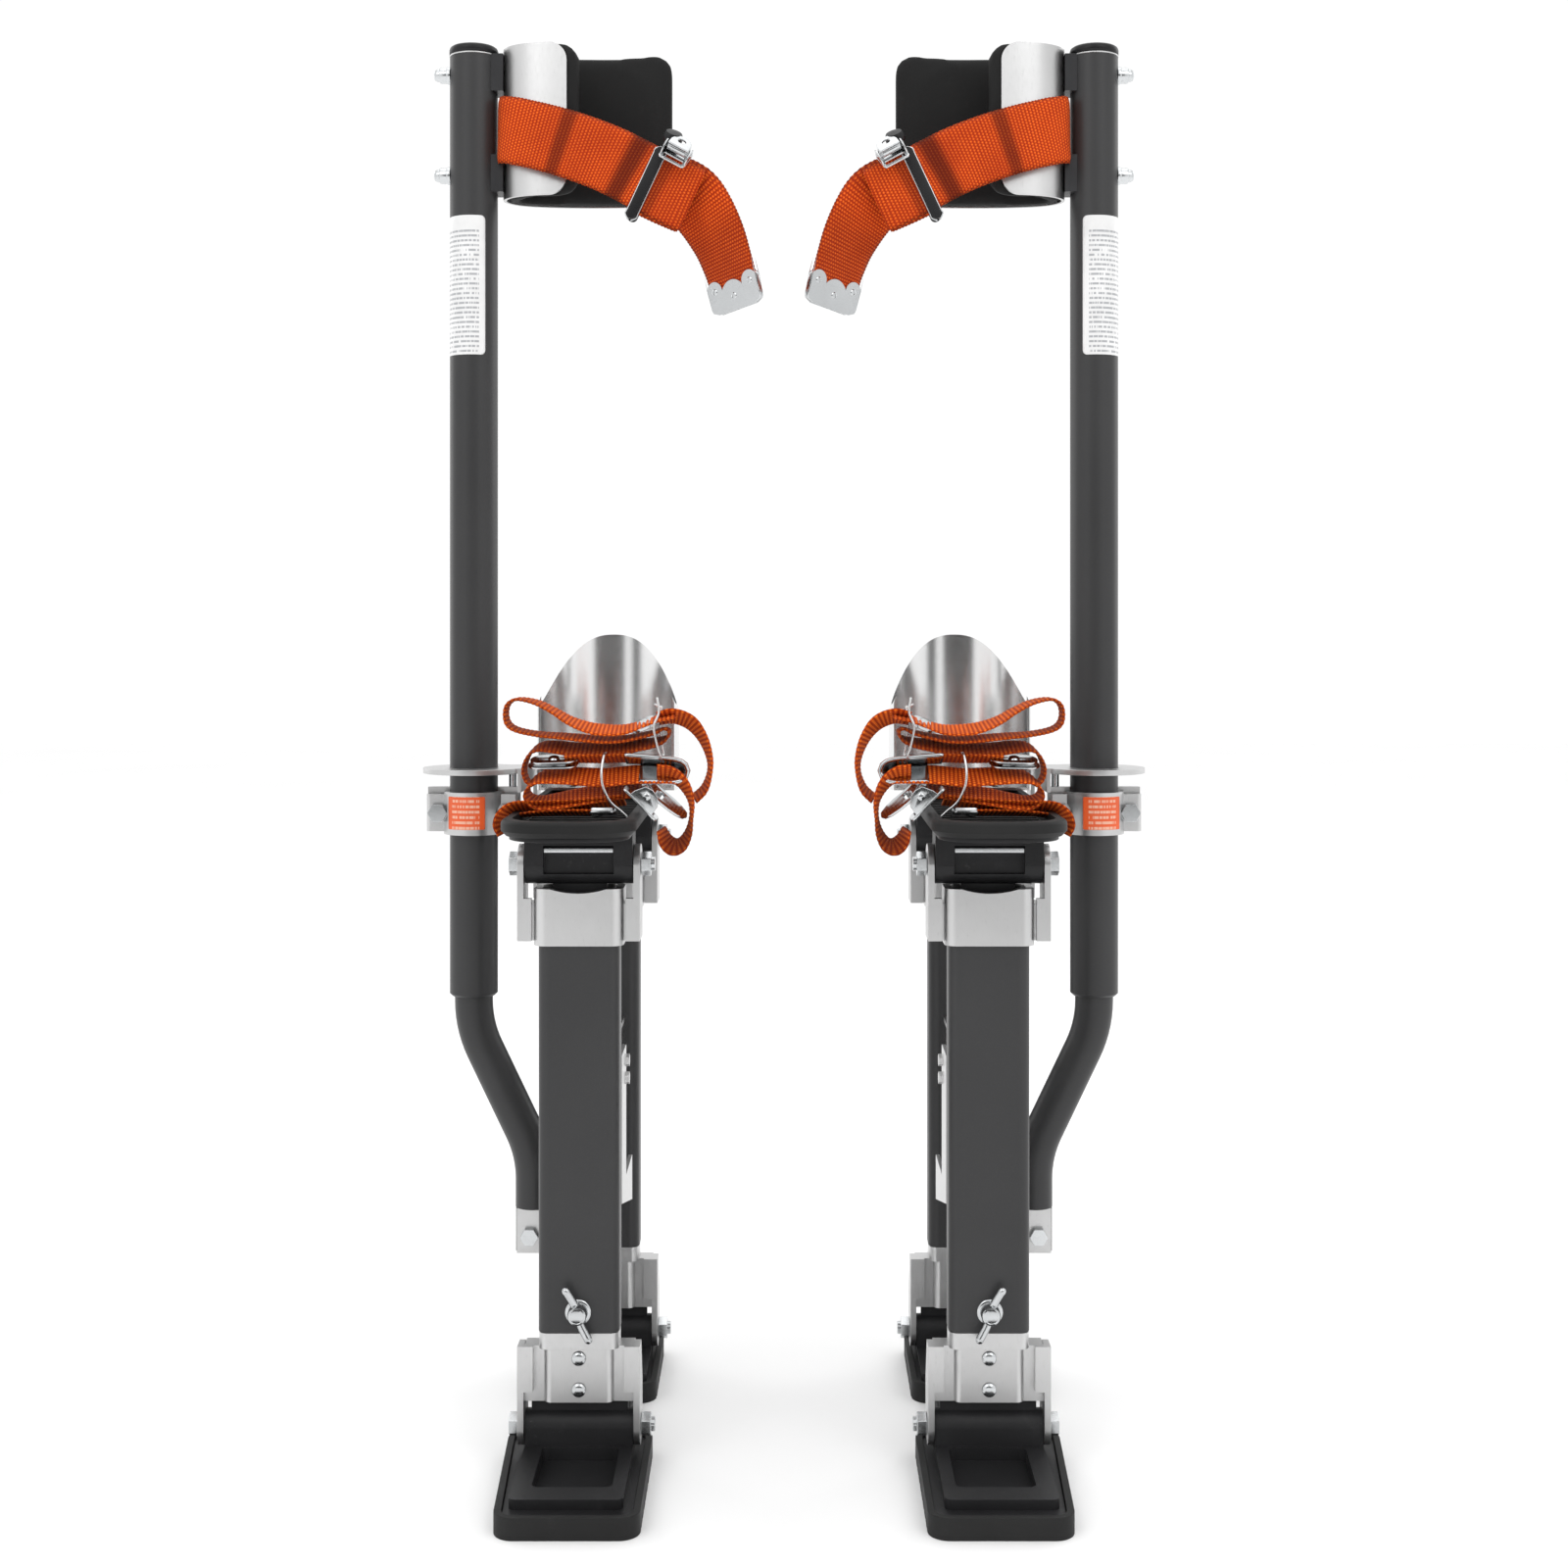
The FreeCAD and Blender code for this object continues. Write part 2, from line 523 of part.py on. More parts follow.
def rear_fasteners():
    """Clamp bolts, arm stud, bent tube bolt and the spring rods."""
    solids = []
    for s in (-1, 1):
        solids += bolt_y(POLE_X + s * CLAMP_BOLT_X, 454, POLE_Y - 7, POLE_Y + 7, 4, 13)
    solids.append(cyl_z(POLE_X + 29, POLE_Y + 3.5, FLANGE_TOP + FLANGE_RISE, 484, 3))
    solids += bolt_y(LOWER_X - 4, 134, POLE_Y - 5, POLE_Y + 2, 4, 12)
    return solids + spring_rods()


# ---- calf band ----------------------------------------------------------------------
def calf_band():
    band = curved_strip(CALF_PATH, -BAND_T / 2, BAND_T / 2, BAND_LOW, BAND_HIGH)
    band = round_ends(band, BAND_T, 14)
    for z in CALF_BOLT_Z:
        band = band.cut(cyl_x(-80, -50, POLE_Y, z, 3.2))
    return band


def calf_pad():
    pad = curved_strip(CALF_PATH, -BAND_T / 2 - 10, -BAND_T / 2 - 0.4, BAND_LOW + 4, BAND_HIGH - 4, 8)
    return round_ends(pad, 9.6, 14).cut(curved_strip(CALF_PATH, -BAND_T / 2 - 0.3, 3, BAND_LOW, BAND_HIGH))


def calf_mounts():
    """Saddles between pole and band, with their through bolts and domed nuts."""
    solids = []
    for z in CALF_BOLT_Z:
        saddle = box(POLE_X + 8, -67.6, POLE_Y - 11, POLE_Y + 11, z - 14, z + 14)
        saddle = saddle.cut(cyl_z(POLE_X, POLE_Y, z - 20, z + 20, POLE_R + 0.02))
        saddle = saddle.cut(curved_strip(CALF_PATH, -3, BAND_T / 2 + 0.1, z - 20, z + 20))
        solids.append(saddle.cut(cyl_x(-90, -60, POLE_Y, z, 3 + RUNNING)))
        outside = POLE_X - POLE_R
        washer = cyl_x(outside - 1.8, outside + 0.4, POLE_Y, z, 6).cut(cyl_z(POLE_X, POLE_Y, z - 9, z + 9, POLE_R))
        nut = hexagon(10, 6, V(outside - 1.6, POLE_Y, z), V(-1, 0, 0))
        dome = Part.makeSphere(4.6, V(outside - 7.4, POLE_Y, z))
        solids.append(fuse(cyl_x(outside - 4, -66.4, POLE_Y, z, 3), washer, nut, dome))
    return solids


def strap_outline():
    """Front view of the calf strap: a band that sweeps inward and down, then hangs."""
    top = [(-72, 0, 988), (-40, 0, 985), (2, 0, 972), (38, 0, 953), (62, 0, 938), (84, 0, 908), (98, 0, 878),
           (109, 0, 852)]
    low = [(72, 0, 838), (68, 0, 862), (58, 0, 885), (42, 0, 893), (28, 0, 896), (0, 0, 911), (-36, 0, 926),
           (-72, 0, 936)]
    wire = Part.Wire([spline(top).toShape(), Part.makeLine(V(*top[-1]), V(*low[0])), spline(low).toShape(),
                      Part.makeLine(V(*low[-1]), V(*top[0]))])
    return Part.Face(wire).extrude(V(0, 200, 0))


def calf_strap():
    sheet = curved_strip(STRAP_PATH, -1.2, 1.2, 800, 1020)
    outline = strap_outline()
    outline.translate(V(0, -60, 0))
    strap = sheet.common(outline)
    for z in CALF_BOLT_Z:
        strap = strap.cut(box(-90, -66, POLE_Y - 11.3, POLE_Y + 11.3, z - 14.3, z + 14.3))
    return strap.cut(cyl_z(POLE_X, POLE_Y, 800, 1030, POLE_R + 0.4))


def calf_buckle():
    """Cam buckle frame and slide bar on the strap."""
    plate = rounded(58, 84, -6, 0.4, 929, 957, 2)
    plate = plate.cut(box(64, 78, -8, 4, 934, 952))
    cheeks = [box(x, x + 2, -17, -2, 936, 950) for x in (60, 80)]
    frame = fuse(plate, *cheeks)
    frame = frame.cut(cyl_x(50, 95, -12, 943, 2))
    bar = cyl_z(42.5, -2.2, 893, 948, 2.2)
    bar.rotate(V(42.5, -2.2, 920.6), V(0, 1, 0), 25)
    return [frame, bar]


def calf_lever():
    """Cam lever of the calf buckle, with its cross pin."""
    pin = cyl_x(59, 83, -12, 943, 2 - RUNNING)
    blade = rounded(63, 79, -20, -15, 940, 964, 1.5)
    cam = box(63, 79, -15.5, -9, 940, 946)
    return fuse(blade, cam, pin)


# ---- foot straps --------------------------------------------------------------------
def webbing(points, half_t, y0, y1):
    """Folded webbing seen edge-on: a thick line in the XZ plane, pulled out along Y."""
    strip = curved_strip(points, -half_t, half_t, 0, y1 - y0)
    strip.rotate(V(0, 0, 0), V(1, 0, 0), 90)
    strip.translate(V(0, y1, 0))
    return strip


FOLDED_PATH = [(-40, 474), (-15, 471), (10, 471), (30, 473)]
LEFT_LOOP = [(36, 512), (5, 513), (-20, 521), (-40, 536), (-54, 530), (-52, 514), (-30, 506), (0, 503)]
RIGHT_LOOP = [(38, 515), (58, 522), (78, 510), (86, 488), (76, 468)]


def foot_straps():
    """Two straps folded on the foot plate, one loop standing each side."""
    stack = webbing(FOLDED_PATH, 3.5, -112, -84)
    middle = webbing([(-42, 488), (-10, 486), (20, 488), (38, 494)], 5, -110, -82)
    left = webbing(LEFT_LOOP, 1.2, -95, -69)
    right = webbing(RIGHT_LOOP, 1.2, -80, -54)
    return [stack, middle, left, right]


BUCKLE_X = 51.5            # foot buckle plate, its middle
BUCKLE_Z = 465.5
BUCKLE_TILT = 45.0         # it leans over the inner rim
LEVER_ALONG = -10.0        # lever pin, along the plate and out from it
LEVER_OUT = 8.0


def on_rim(solid):
    """Lean a buckle piece over the inner rim of the tread cover."""
    solid.rotate(V(0, 0, 0), V(0, 1, 0), BUCKLE_TILT)
    solid.translate(V(BUCKLE_X, 0, BUCKLE_Z))
    return solid


def foot_buckle():
    plate = rounded(-19, 19, -108, -80, -1.5, 1.5, 1)
    plate = plate.cut(box(-2, 13, -102, -86, -5, 5))
    cheeks = [box(LEVER_ALONG - 6, LEVER_ALONG + 6, y, y + 2, 0, 12) for y in (-104, -86)]
    frame = fuse(plate, *cheeks)
    return on_rim(frame.cut(cyl_y(LEVER_ALONG, -110, -78, LEVER_OUT, 2)))


def foot_lever():
    pin = cyl_y(LEVER_ALONG, -104, -84, LEVER_OUT, 2 - RUNNING)
    blade = box(LEVER_ALONG - 4, 22.5, -101.5, -86.5, 11.5, 13.5)
    cam = box(LEVER_ALONG - 4, LEVER_ALONG + 4, -101.5, -86.5, 5, 12)
    return on_rim(fuse(blade, cam, pin))


# ---- the whole pair -----------------------------------------------------------------
def one_stilt():
    """Every node of one stilt, as lists of solids about its own strut plane."""
    return {
        "front_shank": [inner_strut(FRONT_Y, -1), ankle_bracket(FRONT_Y)],
        "rear_shank": [inner_strut(REAR_Y, 1), ankle_bracket(REAR_Y)],
        "front_outer_strut": [outer_strut(FRONT_Y, -1)],
        "rear_outer_strut": [outer_strut(REAR_Y, 1)],
        "front_wing_bolt": [wing_bolt(FRONT_Y, -1)],
        "rear_wing_bolt": [wing_bolt(REAR_Y, 1)],
        "front_brackets": [top_bracket(FRONT_Y, BOLT_R + OPEN_PIVOT), spring_lower_bracket()],
        "rear_brackets": [top_bracket(REAR_Y, BOLT_R + RUNNING), spring_upper_bracket(), pole_foot_bracket(),
                          pole_arm()],
        "rear_fasteners": rear_fasteners(),
        "springs": springs(),
        "hinge_blocks": [hinge_block(FRONT_Y), hinge_block(REAR_Y)],
        "hinge_bolts": hinge_bolt(FRONT_Y, KNEE_Z) + hinge_bolt(REAR_Y, KNEE_Z) + [cross_bar(FRONT_Y)],
        "foot_plate": [foot_plate()],
        "foot_plate_cover": [foot_plate_cover()],
        "foot_straps": foot_straps(),
        "foot_buckle": [foot_buckle()],
        "foot_buckle_lever": [foot_lever()],
        "heel_cup": [heel_cup()],
        "pole_lower": [pole_lower()],
        "pole_clamp": [clamp_half(-1), clamp_half(1)],
        "pole_upper": [pole_upper()],
        "pole_cap": [pole_cap()],
        "calf_band": [calf_band()],
        "calf_pad": [calf_pad()],
        "calf_mounts": calf_mounts(),
        "calf_strap": [calf_strap()],
        "calf_buckle": calf_buckle(),
        "calf_buckle_lever": [calf_lever()],
    }


def floor_nodes():
    """The parts of one stilt that stay on the floor."""
    return {
        "floor_plates": [floor_plate()],
        "floor_soles": [floor_sole()],
        "ankle_bolts": hinge_bolt(FRONT_Y, ANKLE_Z) + hinge_bolt(REAR_Y, ANKLE_Z),
    }


def on_right(solid):
    return solid.translated(V(-STILT_X, 0, 0))


def on_left(solid):
    return on_right(solid).mirror(V(0, 0, 0), V(1, 0, 0))


def write(node, solids):
    Part.makeCompound(solids).exportStep(f"parts/{node}.step")


os.makedirs("parts", exist_ok=True)
for name, pieces in one_stilt().items():
    write(f"right_{name}", [on_right(p) for p in pieces])
    write(f"left_{name}", [on_left(p) for p in pieces])
for name, pieces in floor_nodes().items():
    write(name, [on_right(p) for p in pieces] + [on_left(p) for p in pieces])
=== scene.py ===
import json
import math

import bmesh
import bpy
import numpy as np
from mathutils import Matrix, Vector


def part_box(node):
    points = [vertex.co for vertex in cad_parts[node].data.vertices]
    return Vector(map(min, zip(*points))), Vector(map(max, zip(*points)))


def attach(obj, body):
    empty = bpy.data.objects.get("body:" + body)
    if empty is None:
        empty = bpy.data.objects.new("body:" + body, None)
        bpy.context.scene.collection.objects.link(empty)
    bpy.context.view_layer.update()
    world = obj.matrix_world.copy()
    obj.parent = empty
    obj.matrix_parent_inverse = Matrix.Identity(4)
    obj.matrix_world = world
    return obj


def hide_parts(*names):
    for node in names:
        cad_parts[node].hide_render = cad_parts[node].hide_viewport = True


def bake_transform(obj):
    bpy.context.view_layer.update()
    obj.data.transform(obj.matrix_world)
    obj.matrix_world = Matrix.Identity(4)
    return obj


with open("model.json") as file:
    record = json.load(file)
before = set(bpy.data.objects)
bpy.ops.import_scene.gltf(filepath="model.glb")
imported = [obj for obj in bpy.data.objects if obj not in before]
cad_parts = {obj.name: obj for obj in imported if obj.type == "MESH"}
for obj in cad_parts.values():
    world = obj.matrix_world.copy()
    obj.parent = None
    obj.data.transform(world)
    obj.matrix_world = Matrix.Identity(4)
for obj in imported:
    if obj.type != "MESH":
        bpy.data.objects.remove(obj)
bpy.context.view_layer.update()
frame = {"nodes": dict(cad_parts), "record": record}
MM = 0.001
SIDES = ("right", "left")
scene = bpy.context.scene


# ---- places, all taken from the frame ----
def centre(node):
    low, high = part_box(node)
    return (low + high) / 2


STRUT_X = abs(centre("right_front_outer_strut").x)      # from the middle of the pair to each strut
FRONT_Y = centre("right_front_outer_strut").y
REAR_Y = centre("right_rear_outer_strut").y
TREAD_RIM_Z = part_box("right_foot_plate_cover")[1].z


def place(side, x, y, z):
    """A point of one stilt: x in metres from its strut plane towards the other stilt."""
    sign = -1 if side == "right" else 1
    return Vector((sign * (STRUT_X - x), y, z))


# ---- mesh building ----
def add_mesh(name, verts, faces, material, side=None, uvs=None, shade=None, smooth=True):
    """New object from plain lists; with a side, its points and its name are that stilt's own."""
    if side:
        name = f"{side}_{name}"
        verts = [place(side, *v) for v in verts]
        if side == "left":
            faces = [f[::-1] for f in faces]
    mesh = bpy.data.meshes.new(name)
    mesh.from_pydata([tuple(v) for v in verts], [], faces)
    if uvs is not None:
        layer = mesh.uv_layers.new(name="run")
        loops = np.array([l.vertex_index for l in mesh.loops])
        layer.data.foreach_set("uv", np.array(uvs, np.float32)[loops].ravel())
    if shade is not None:
        attribute = mesh.attributes.new("shade", "FLOAT", "POINT")
        attribute.data.foreach_set("value", np.array(shade, np.float32))
    mesh.polygons.foreach_set("use_smooth", [smooth] * len(mesh.polygons))
    mesh.update()
    obj = bpy.data.objects.new(name, mesh)
    scene.collection.objects.link(obj)
    obj.data.materials.append(material)
    return obj


def ring_faces(rings, n, capped=True):
    """Faces of a skin over a row of rings with n points each, with its two ends closed when capped."""
    faces = [(i * n + j, i * n + (j + 1) % n, (i + 1) * n + (j + 1) % n, (i + 1) * n + j)
             for i in range(rings - 1) for j in range(n)]
    if capped:
        faces += [tuple(range(n))[::-1], tuple((rings - 1) * n + j for j in range(n))]
    return faces


def weld(obj, sharp_deg):
    """Join doubled points, turn the faces outwards and keep edges past sharp_deg sharp."""
    bm = bmesh.new()
    bm.from_mesh(obj.data)
    bmesh.ops.remove_doubles(bm, verts=bm.verts, dist=1e-6)
    bmesh.ops.recalc_face_normals(bm, faces=bm.faces)
    bm.to_mesh(obj.data)
    bm.free()
    obj.data.set_sharp_from_angle(angle=math.radians(sharp_deg))
    return obj


def smooth_line(points, spacing):
    """Catmull-Rom line through the points, resampled evenly."""
    p = np.array(points, float)
    p = np.vstack([2 * p[0] - p[1], p, 2 * p[-1] - p[-2]])
    fine = []
    for a, b, c, d in zip(p[:-3], p[1:-2], p[2:-1], p[3:]):
        t = np.linspace(0, 1, 40, endpoint=False)[:, None]
        fine.append(0.5 * (2 * b + (c - a) * t + (2 * a - 5 * b + 4 * c - d) * t ** 2
                           + (3 * b - a - 3 * c + d) * t ** 3))
    fine = np.vstack([*fine, p[-2][None]])
    run = np.r_[0, np.cumsum(np.linalg.norm(np.diff(fine[:, :3], axis=0), axis=1))]
    count = max(4, int(run[-1] / spacing))
    even = np.linspace(0, run[-1], count + 1)
    return np.stack([np.interp(even, run, fine[:, k]) for k in range(fine.shape[1])], axis=1), even


def run_frames(points, spacing, across=None, facing=None):
    """Evenly spaced middle, along, width and face directions of a strap line (x, y, z[, degrees]).

    The fourth value is a twist about the line, or, with neither across nor facing, the lean of the
    width direction from upright in the front view.
    """
    line, run = smooth_line(points, spacing)
    middle = line[:, :3]
    along = np.gradient(middle, axis=0)
    along /= np.linalg.norm(along, axis=1)[:, None]
    if across is not None:
        wide = np.array(across, float)[None] - along * (along @ np.array(across, float))[:, None]
    elif facing is not None:
        wide = np.cross(along, np.array(facing, float)[None])
    else:
        lean = np.radians(line[:, 3])
        wide = np.stack([np.sin(lean), np.zeros(len(lean)), np.cos(lean)], axis=1)
        wide -= along * (along * wide).sum(axis=1)[:, None]
    wide /= np.linalg.norm(wide, axis=1)[:, None]
    face = np.cross(along, wide)
    if line.shape[1] == 4 and (across is not None or facing is not None):
        a = np.radians(line[:, 3])[:, None]
        wide, face = wide * np.cos(a) + face * np.sin(a), face * np.cos(a) - wide * np.sin(a)
    return middle, along, wide, face, run


def webbing(name, side, points, width, thick, material, across=None, facing=None, rib=0.0, pitch=0.0024,
            dark=()):
    """Flat woven strap with raised weft ribs; each dark item is (place along, half length, amount), a
    band of painted shade darkening the strap there.
    """
    middle, along, wide, face, run = run_frames(points, pitch / 4 if rib else 0.0025, across, facing)
    v = np.linspace(-1, 1, 13)
    profile = (1 - np.abs(v) ** 8) ** 0.5
    ring_v = np.r_[v, v[-2:0:-1]]
    ring_h = np.r_[profile, -profile[-2:0:-1]]
    phase = np.pi * run / pitch
    ridge = 1 + (rib / thick) * (np.abs(np.sin(phase)) * 2 - 1)
    edge = 1 + (0.010 if rib else 0) * np.cos(2 * phase)
    # Painted shade: tone falls in bands along the run and reaches the material through the shade
    # attribute.
    tone = np.ones(len(run))
    for at, half, amount in dark:
        tone -= amount * np.exp(-((run - at) / half) ** 4)
    n = len(ring_v)
    verts = (middle[:, None] + wide[:, None] * (ring_v[None, :] * (width / 2 * edge)[:, None])[..., None]
             + face[:, None] * (ring_h[None, :] * (thick / 2 * ridge)[:, None])[..., None]).reshape(-1, 3)
    uvs = [(r, a * width / 2) for r in run for a in ring_v]
    shade = np.repeat(tone, n)
    obj = add_mesh(name, verts, ring_faces(len(run), n), material, side, uvs, shade)
    obj["strap_length"] = float(run[-1])
    return obj


def tube(name, side, points, r, material, spacing=0.001, segments=12, flat=1.0):
    """Round wire or tube along a smooth line."""
    middle, run = smooth_line(points, spacing)
    along = np.gradient(middle, axis=0)
    along /= np.linalg.norm(along, axis=1)[:, None]
    normal = np.cross(along[0], (0.3, 0.5, 0.81))
    verts = []
    for i in range(len(run)):
        normal = normal - along[i] * (normal @ along[i])
        normal /= np.linalg.norm(normal)
        other = np.cross(along[i], normal)
        for j in range(segments):
            a = 2 * math.pi * j / segments
            verts.append(tuple(middle[i] + r * (normal * math.cos(a) + other * math.sin(a) * flat)))
    return add_mesh(name, verts, ring_faces(len(run), segments), material, side)


# ---- materials ----
class Shader:
    """Small helper for node trees: each call adds a node and returns it."""

    def __init__(self, name):
        self.material = bpy.data.materials.new(name)
        self.material.use_nodes = True
        self.tree = self.material.node_tree
        self.tree.nodes.clear()
        self.surface = self.add("ShaderNodeBsdfPrincipled")
        out = self.add("ShaderNodeOutputMaterial")
        self.link(self.surface.outputs[0], out.inputs["Surface"])
        self.place = self.add("ShaderNodeTexCoord").outputs["Object"]

    def add(self, kind, **settings):
        node = self.tree.nodes.new(kind)
        for key, value in settings.items():
            setattr(node, key, value)
        return node

    def link(self, a, b):
        self.tree.links.new(a, b)

    def set(self, **sockets):
        for key, value in sockets.items():
            self.surface.inputs[key.replace("_", " ")].default_value = value

    def noise(self, scale, detail=4.0, rough=0.55, stretch=None, source=None):
        where = source or self.place
        if stretch:
            mapping = self.add("ShaderNodeMapping")
            mapping.inputs["Scale"].default_value = stretch
            self.link(where, mapping.inputs["Vector"])
            where = mapping.outputs[0]
        node = self.add("ShaderNodeTexNoise")
        node.inputs["Scale"].default_value = scale
        node.inputs["Detail"].default_value = detail
        node.inputs["Roughness"].default_value = rough
        self.link(where, node.inputs["Vector"])
        return node.outputs["Fac"]

    def math(self, operation, a, b=0.0, c=0.0):
        node = self.add("ShaderNodeMath", operation=operation)
        for socket, value in zip(node.inputs, (a, b, c)):
            if isinstance(value, (int, float)):
                socket.default_value = value
            else:
                self.link(value, socket)
        return node.outputs[0]

    def span(self, value, low, high, to_low=0.0, to_high=1.0):
        node = self.add("ShaderNodeMapRange")
        self.link(value, node.inputs["Value"])
        for socket, number in zip(("From Min", "From Max", "To Min", "To Max"),
                                  (low, high, to_low, to_high)):
            node.inputs[socket].default_value = number
        return node.outputs["Result"]

    def mix(self, factor, a, b):
        node = self.add("ShaderNodeMix", data_type="RGBA")
        self.link(factor, node.inputs[0])
        for socket, value in ((node.inputs[6], a), (node.inputs[7], b)):
            if isinstance(value, tuple):
                socket.default_value = (*value, 1.0)
            else:
                self.link(value, socket)
        return node.outputs[2]

    def colour(self, socket):
        self.link(socket, self.surface.inputs["Base Color"])

    def roughness(self, value, low, high):
        self.link(self.span(value, 0.3, 0.7, low, high), self.surface.inputs["Roughness"])

    def bump(self, *layers):
        """Each layer is (height socket, strength, distance in metres)."""
        normal = None
        for height, strength, distance in layers:
            node = self.add("ShaderNodeBump")
            node.inputs["Strength"].default_value = strength
            node.inputs["Distance"].default_value = distance
            self.link(height, node.inputs["Height"])
            if normal:
                self.link(normal, node.inputs["Normal"])
            normal = node.outputs[0]
        self.link(normal, self.surface.inputs["Normal"])

    def uv(self):
        node = self.add("ShaderNodeUVMap", uv_map="run")
        split = self.add("ShaderNodeSeparateXYZ")
        self.link(node.outputs[0], split.inputs[0])
        return split.outputs[0], split.outputs[1]


def metal(name, tone, rough, grain_scale, stretch, bump, patch=0.05, tint=(1.0, 1.0, 1.0)):
    s = Shader(name)
    s.set(Metallic=1.0, Specular_IOR_Level=0.5)
    cloudy = s.noise(9, 5)
    grain = s.noise(grain_scale, 3, 0.6, stretch)
    low = tuple((tone - patch) * t for t in tint)
    high = tuple(min(1.0, tone + patch) * t for t in tint)
    base = s.mix(s.span(cloudy, 0.35, 0.65), low, high)
    s.colour(s.mix(s.span(grain, 0.62, 0.9, 0.0, 0.5), base, tuple(tone * 0.62 * t for t in tint)))
    both = s.math("MULTIPLY_ADD", grain, 0.5, s.math("MULTIPLY", cloudy, 0.5))
    s.roughness(both, rough[0], rough[1])
    s.bump((grain, bump, 0.0004), (s.noise(60, 2), 0.04, 0.001))
    return s.material


def graphite_paint():
    s = Shader("graphite_tube")
    cloudy = s.noise(7, 6)
    peel = s.noise(900, 2)
    flake = s.noise(3500, 1)
    streak = s.noise(30, 4, 0.6, (1, 1, 0.04))
    base = s.mix(s.span(cloudy, 0.3, 0.7), (0.034, 0.034, 0.035), (0.041, 0.041, 0.042))
    base = s.mix(s.span(flake, 0.62, 0.8, 0, 0.35), base, (0.11, 0.11, 0.113))
    s.colour(base)
    s.set(Metallic=0.25, Specular_IOR_Level=0.40)
    s.roughness(s.math("MULTIPLY_ADD", streak, 0.6, s.math("MULTIPLY", cloudy, 0.4)), 0.36, 0.48)
    s.bump((peel, 0.10, 0.0002), (streak, 0.03, 0.001))
    return s.material


def moulded_black(name, base, rough, texture, bump, wear=0.0, coat=0.0):
    s = Shader(name)
    cloudy = s.noise(14, 5)
    grain = s.noise(texture, 3)
    tone = s.mix(s.span(cloudy, 0.3, 0.7), tuple(0.75 * b for b in base), tuple(1.3 * b for b in base))
    dust = s.span(s.noise(45, 6, 0.7), 0.58, 0.8, 0, 0.3)
    tone = s.mix(dust, tone, tuple(2.6 * b + 0.004 for b in base))
    scuff = s.math("MULTIPLY", s.span(s.noise(26, 3), 0.5, 0.7),
                   s.span(s.noise(300, 4, 0.7, (1, 4, 1)), 0.6, 0.75))
    tone = s.mix(s.math("MULTIPLY", scuff, wear), tone, (0.09, 0.09, 0.09))
    s.colour(tone)
    s.set(Specular_IOR_Level=0.22, Coat_Weight=coat * 0.5, Coat_Roughness=0.3)
    s.roughness(s.math("MULTIPLY_ADD", grain, 0.4, s.math("MULTIPLY", cloudy, 0.6)), rough[0], rough[1])
    s.bump((grain, bump, 0.0003), (cloudy, 0.05, 0.002))
    return s.material


def woven(name, base, lit, painted_shade_colour, warp_pitch, weft_pitch):
    """Webbing weave from the strap's own run: u along it and v across it, in metres."""
    s = Shader(name)
    u, v = s.uv()
    rib = s.math("COSINE", s.math("MULTIPLY", u, 2 * math.pi / weft_pitch))
    row = s.math("MULTIPLY", v, 2 * math.pi / warp_pitch)
    offset = s.math("MULTIPLY", u, math.pi / weft_pitch)
    knit = s.math("MULTIPLY", s.math("SINE", offset), s.math("SINE", row))
    height = s.math("SUBTRACT", s.math("MULTIPLY", knit, 0.55), s.math("MULTIPLY", rib, 0.45))
    fibre = s.noise(2200, 3, 0.6)
    broad = s.noise(30, 4)
    # Painted shade and painted highlight of the weave: grooves take the shade colour and ridges the lit
    # colour.
    tone = s.mix(s.span(height, -0.55, 0.45), painted_shade_colour, base)
    tone = s.mix(s.span(height, 0.35, 0.95, 0, 0.8), tone, lit)
    tone = s.mix(s.span(fibre, 0.5, 0.8, 0, 0.4), tone, lit)
    tone = s.mix(s.span(broad, 0.4, 0.75, 0, 0.4), tone, painted_shade_colour)
    # Painted shade from the strap's shade attribute: its bends go nearly black.
    shade = s.add("ShaderNodeAttribute", attribute_name="shade")
    tone = s.mix(s.span(shade.outputs["Fac"], 0.0, 1.0), tuple(0.2 * d for d in painted_shade_colour), tone)
    s.colour(tone)
    s.set(Sheen_Weight=0.08, Sheen_Roughness=0.4, Sheen_Tint=(1.0, 0.45, 0.25, 1.0),
          Specular_IOR_Level=0.15)
    s.roughness(fibre, 0.65, 0.85)
    s.bump((height, 0.9, 0.0006), (fibre, 0.3, 0.0002))
    return s.material


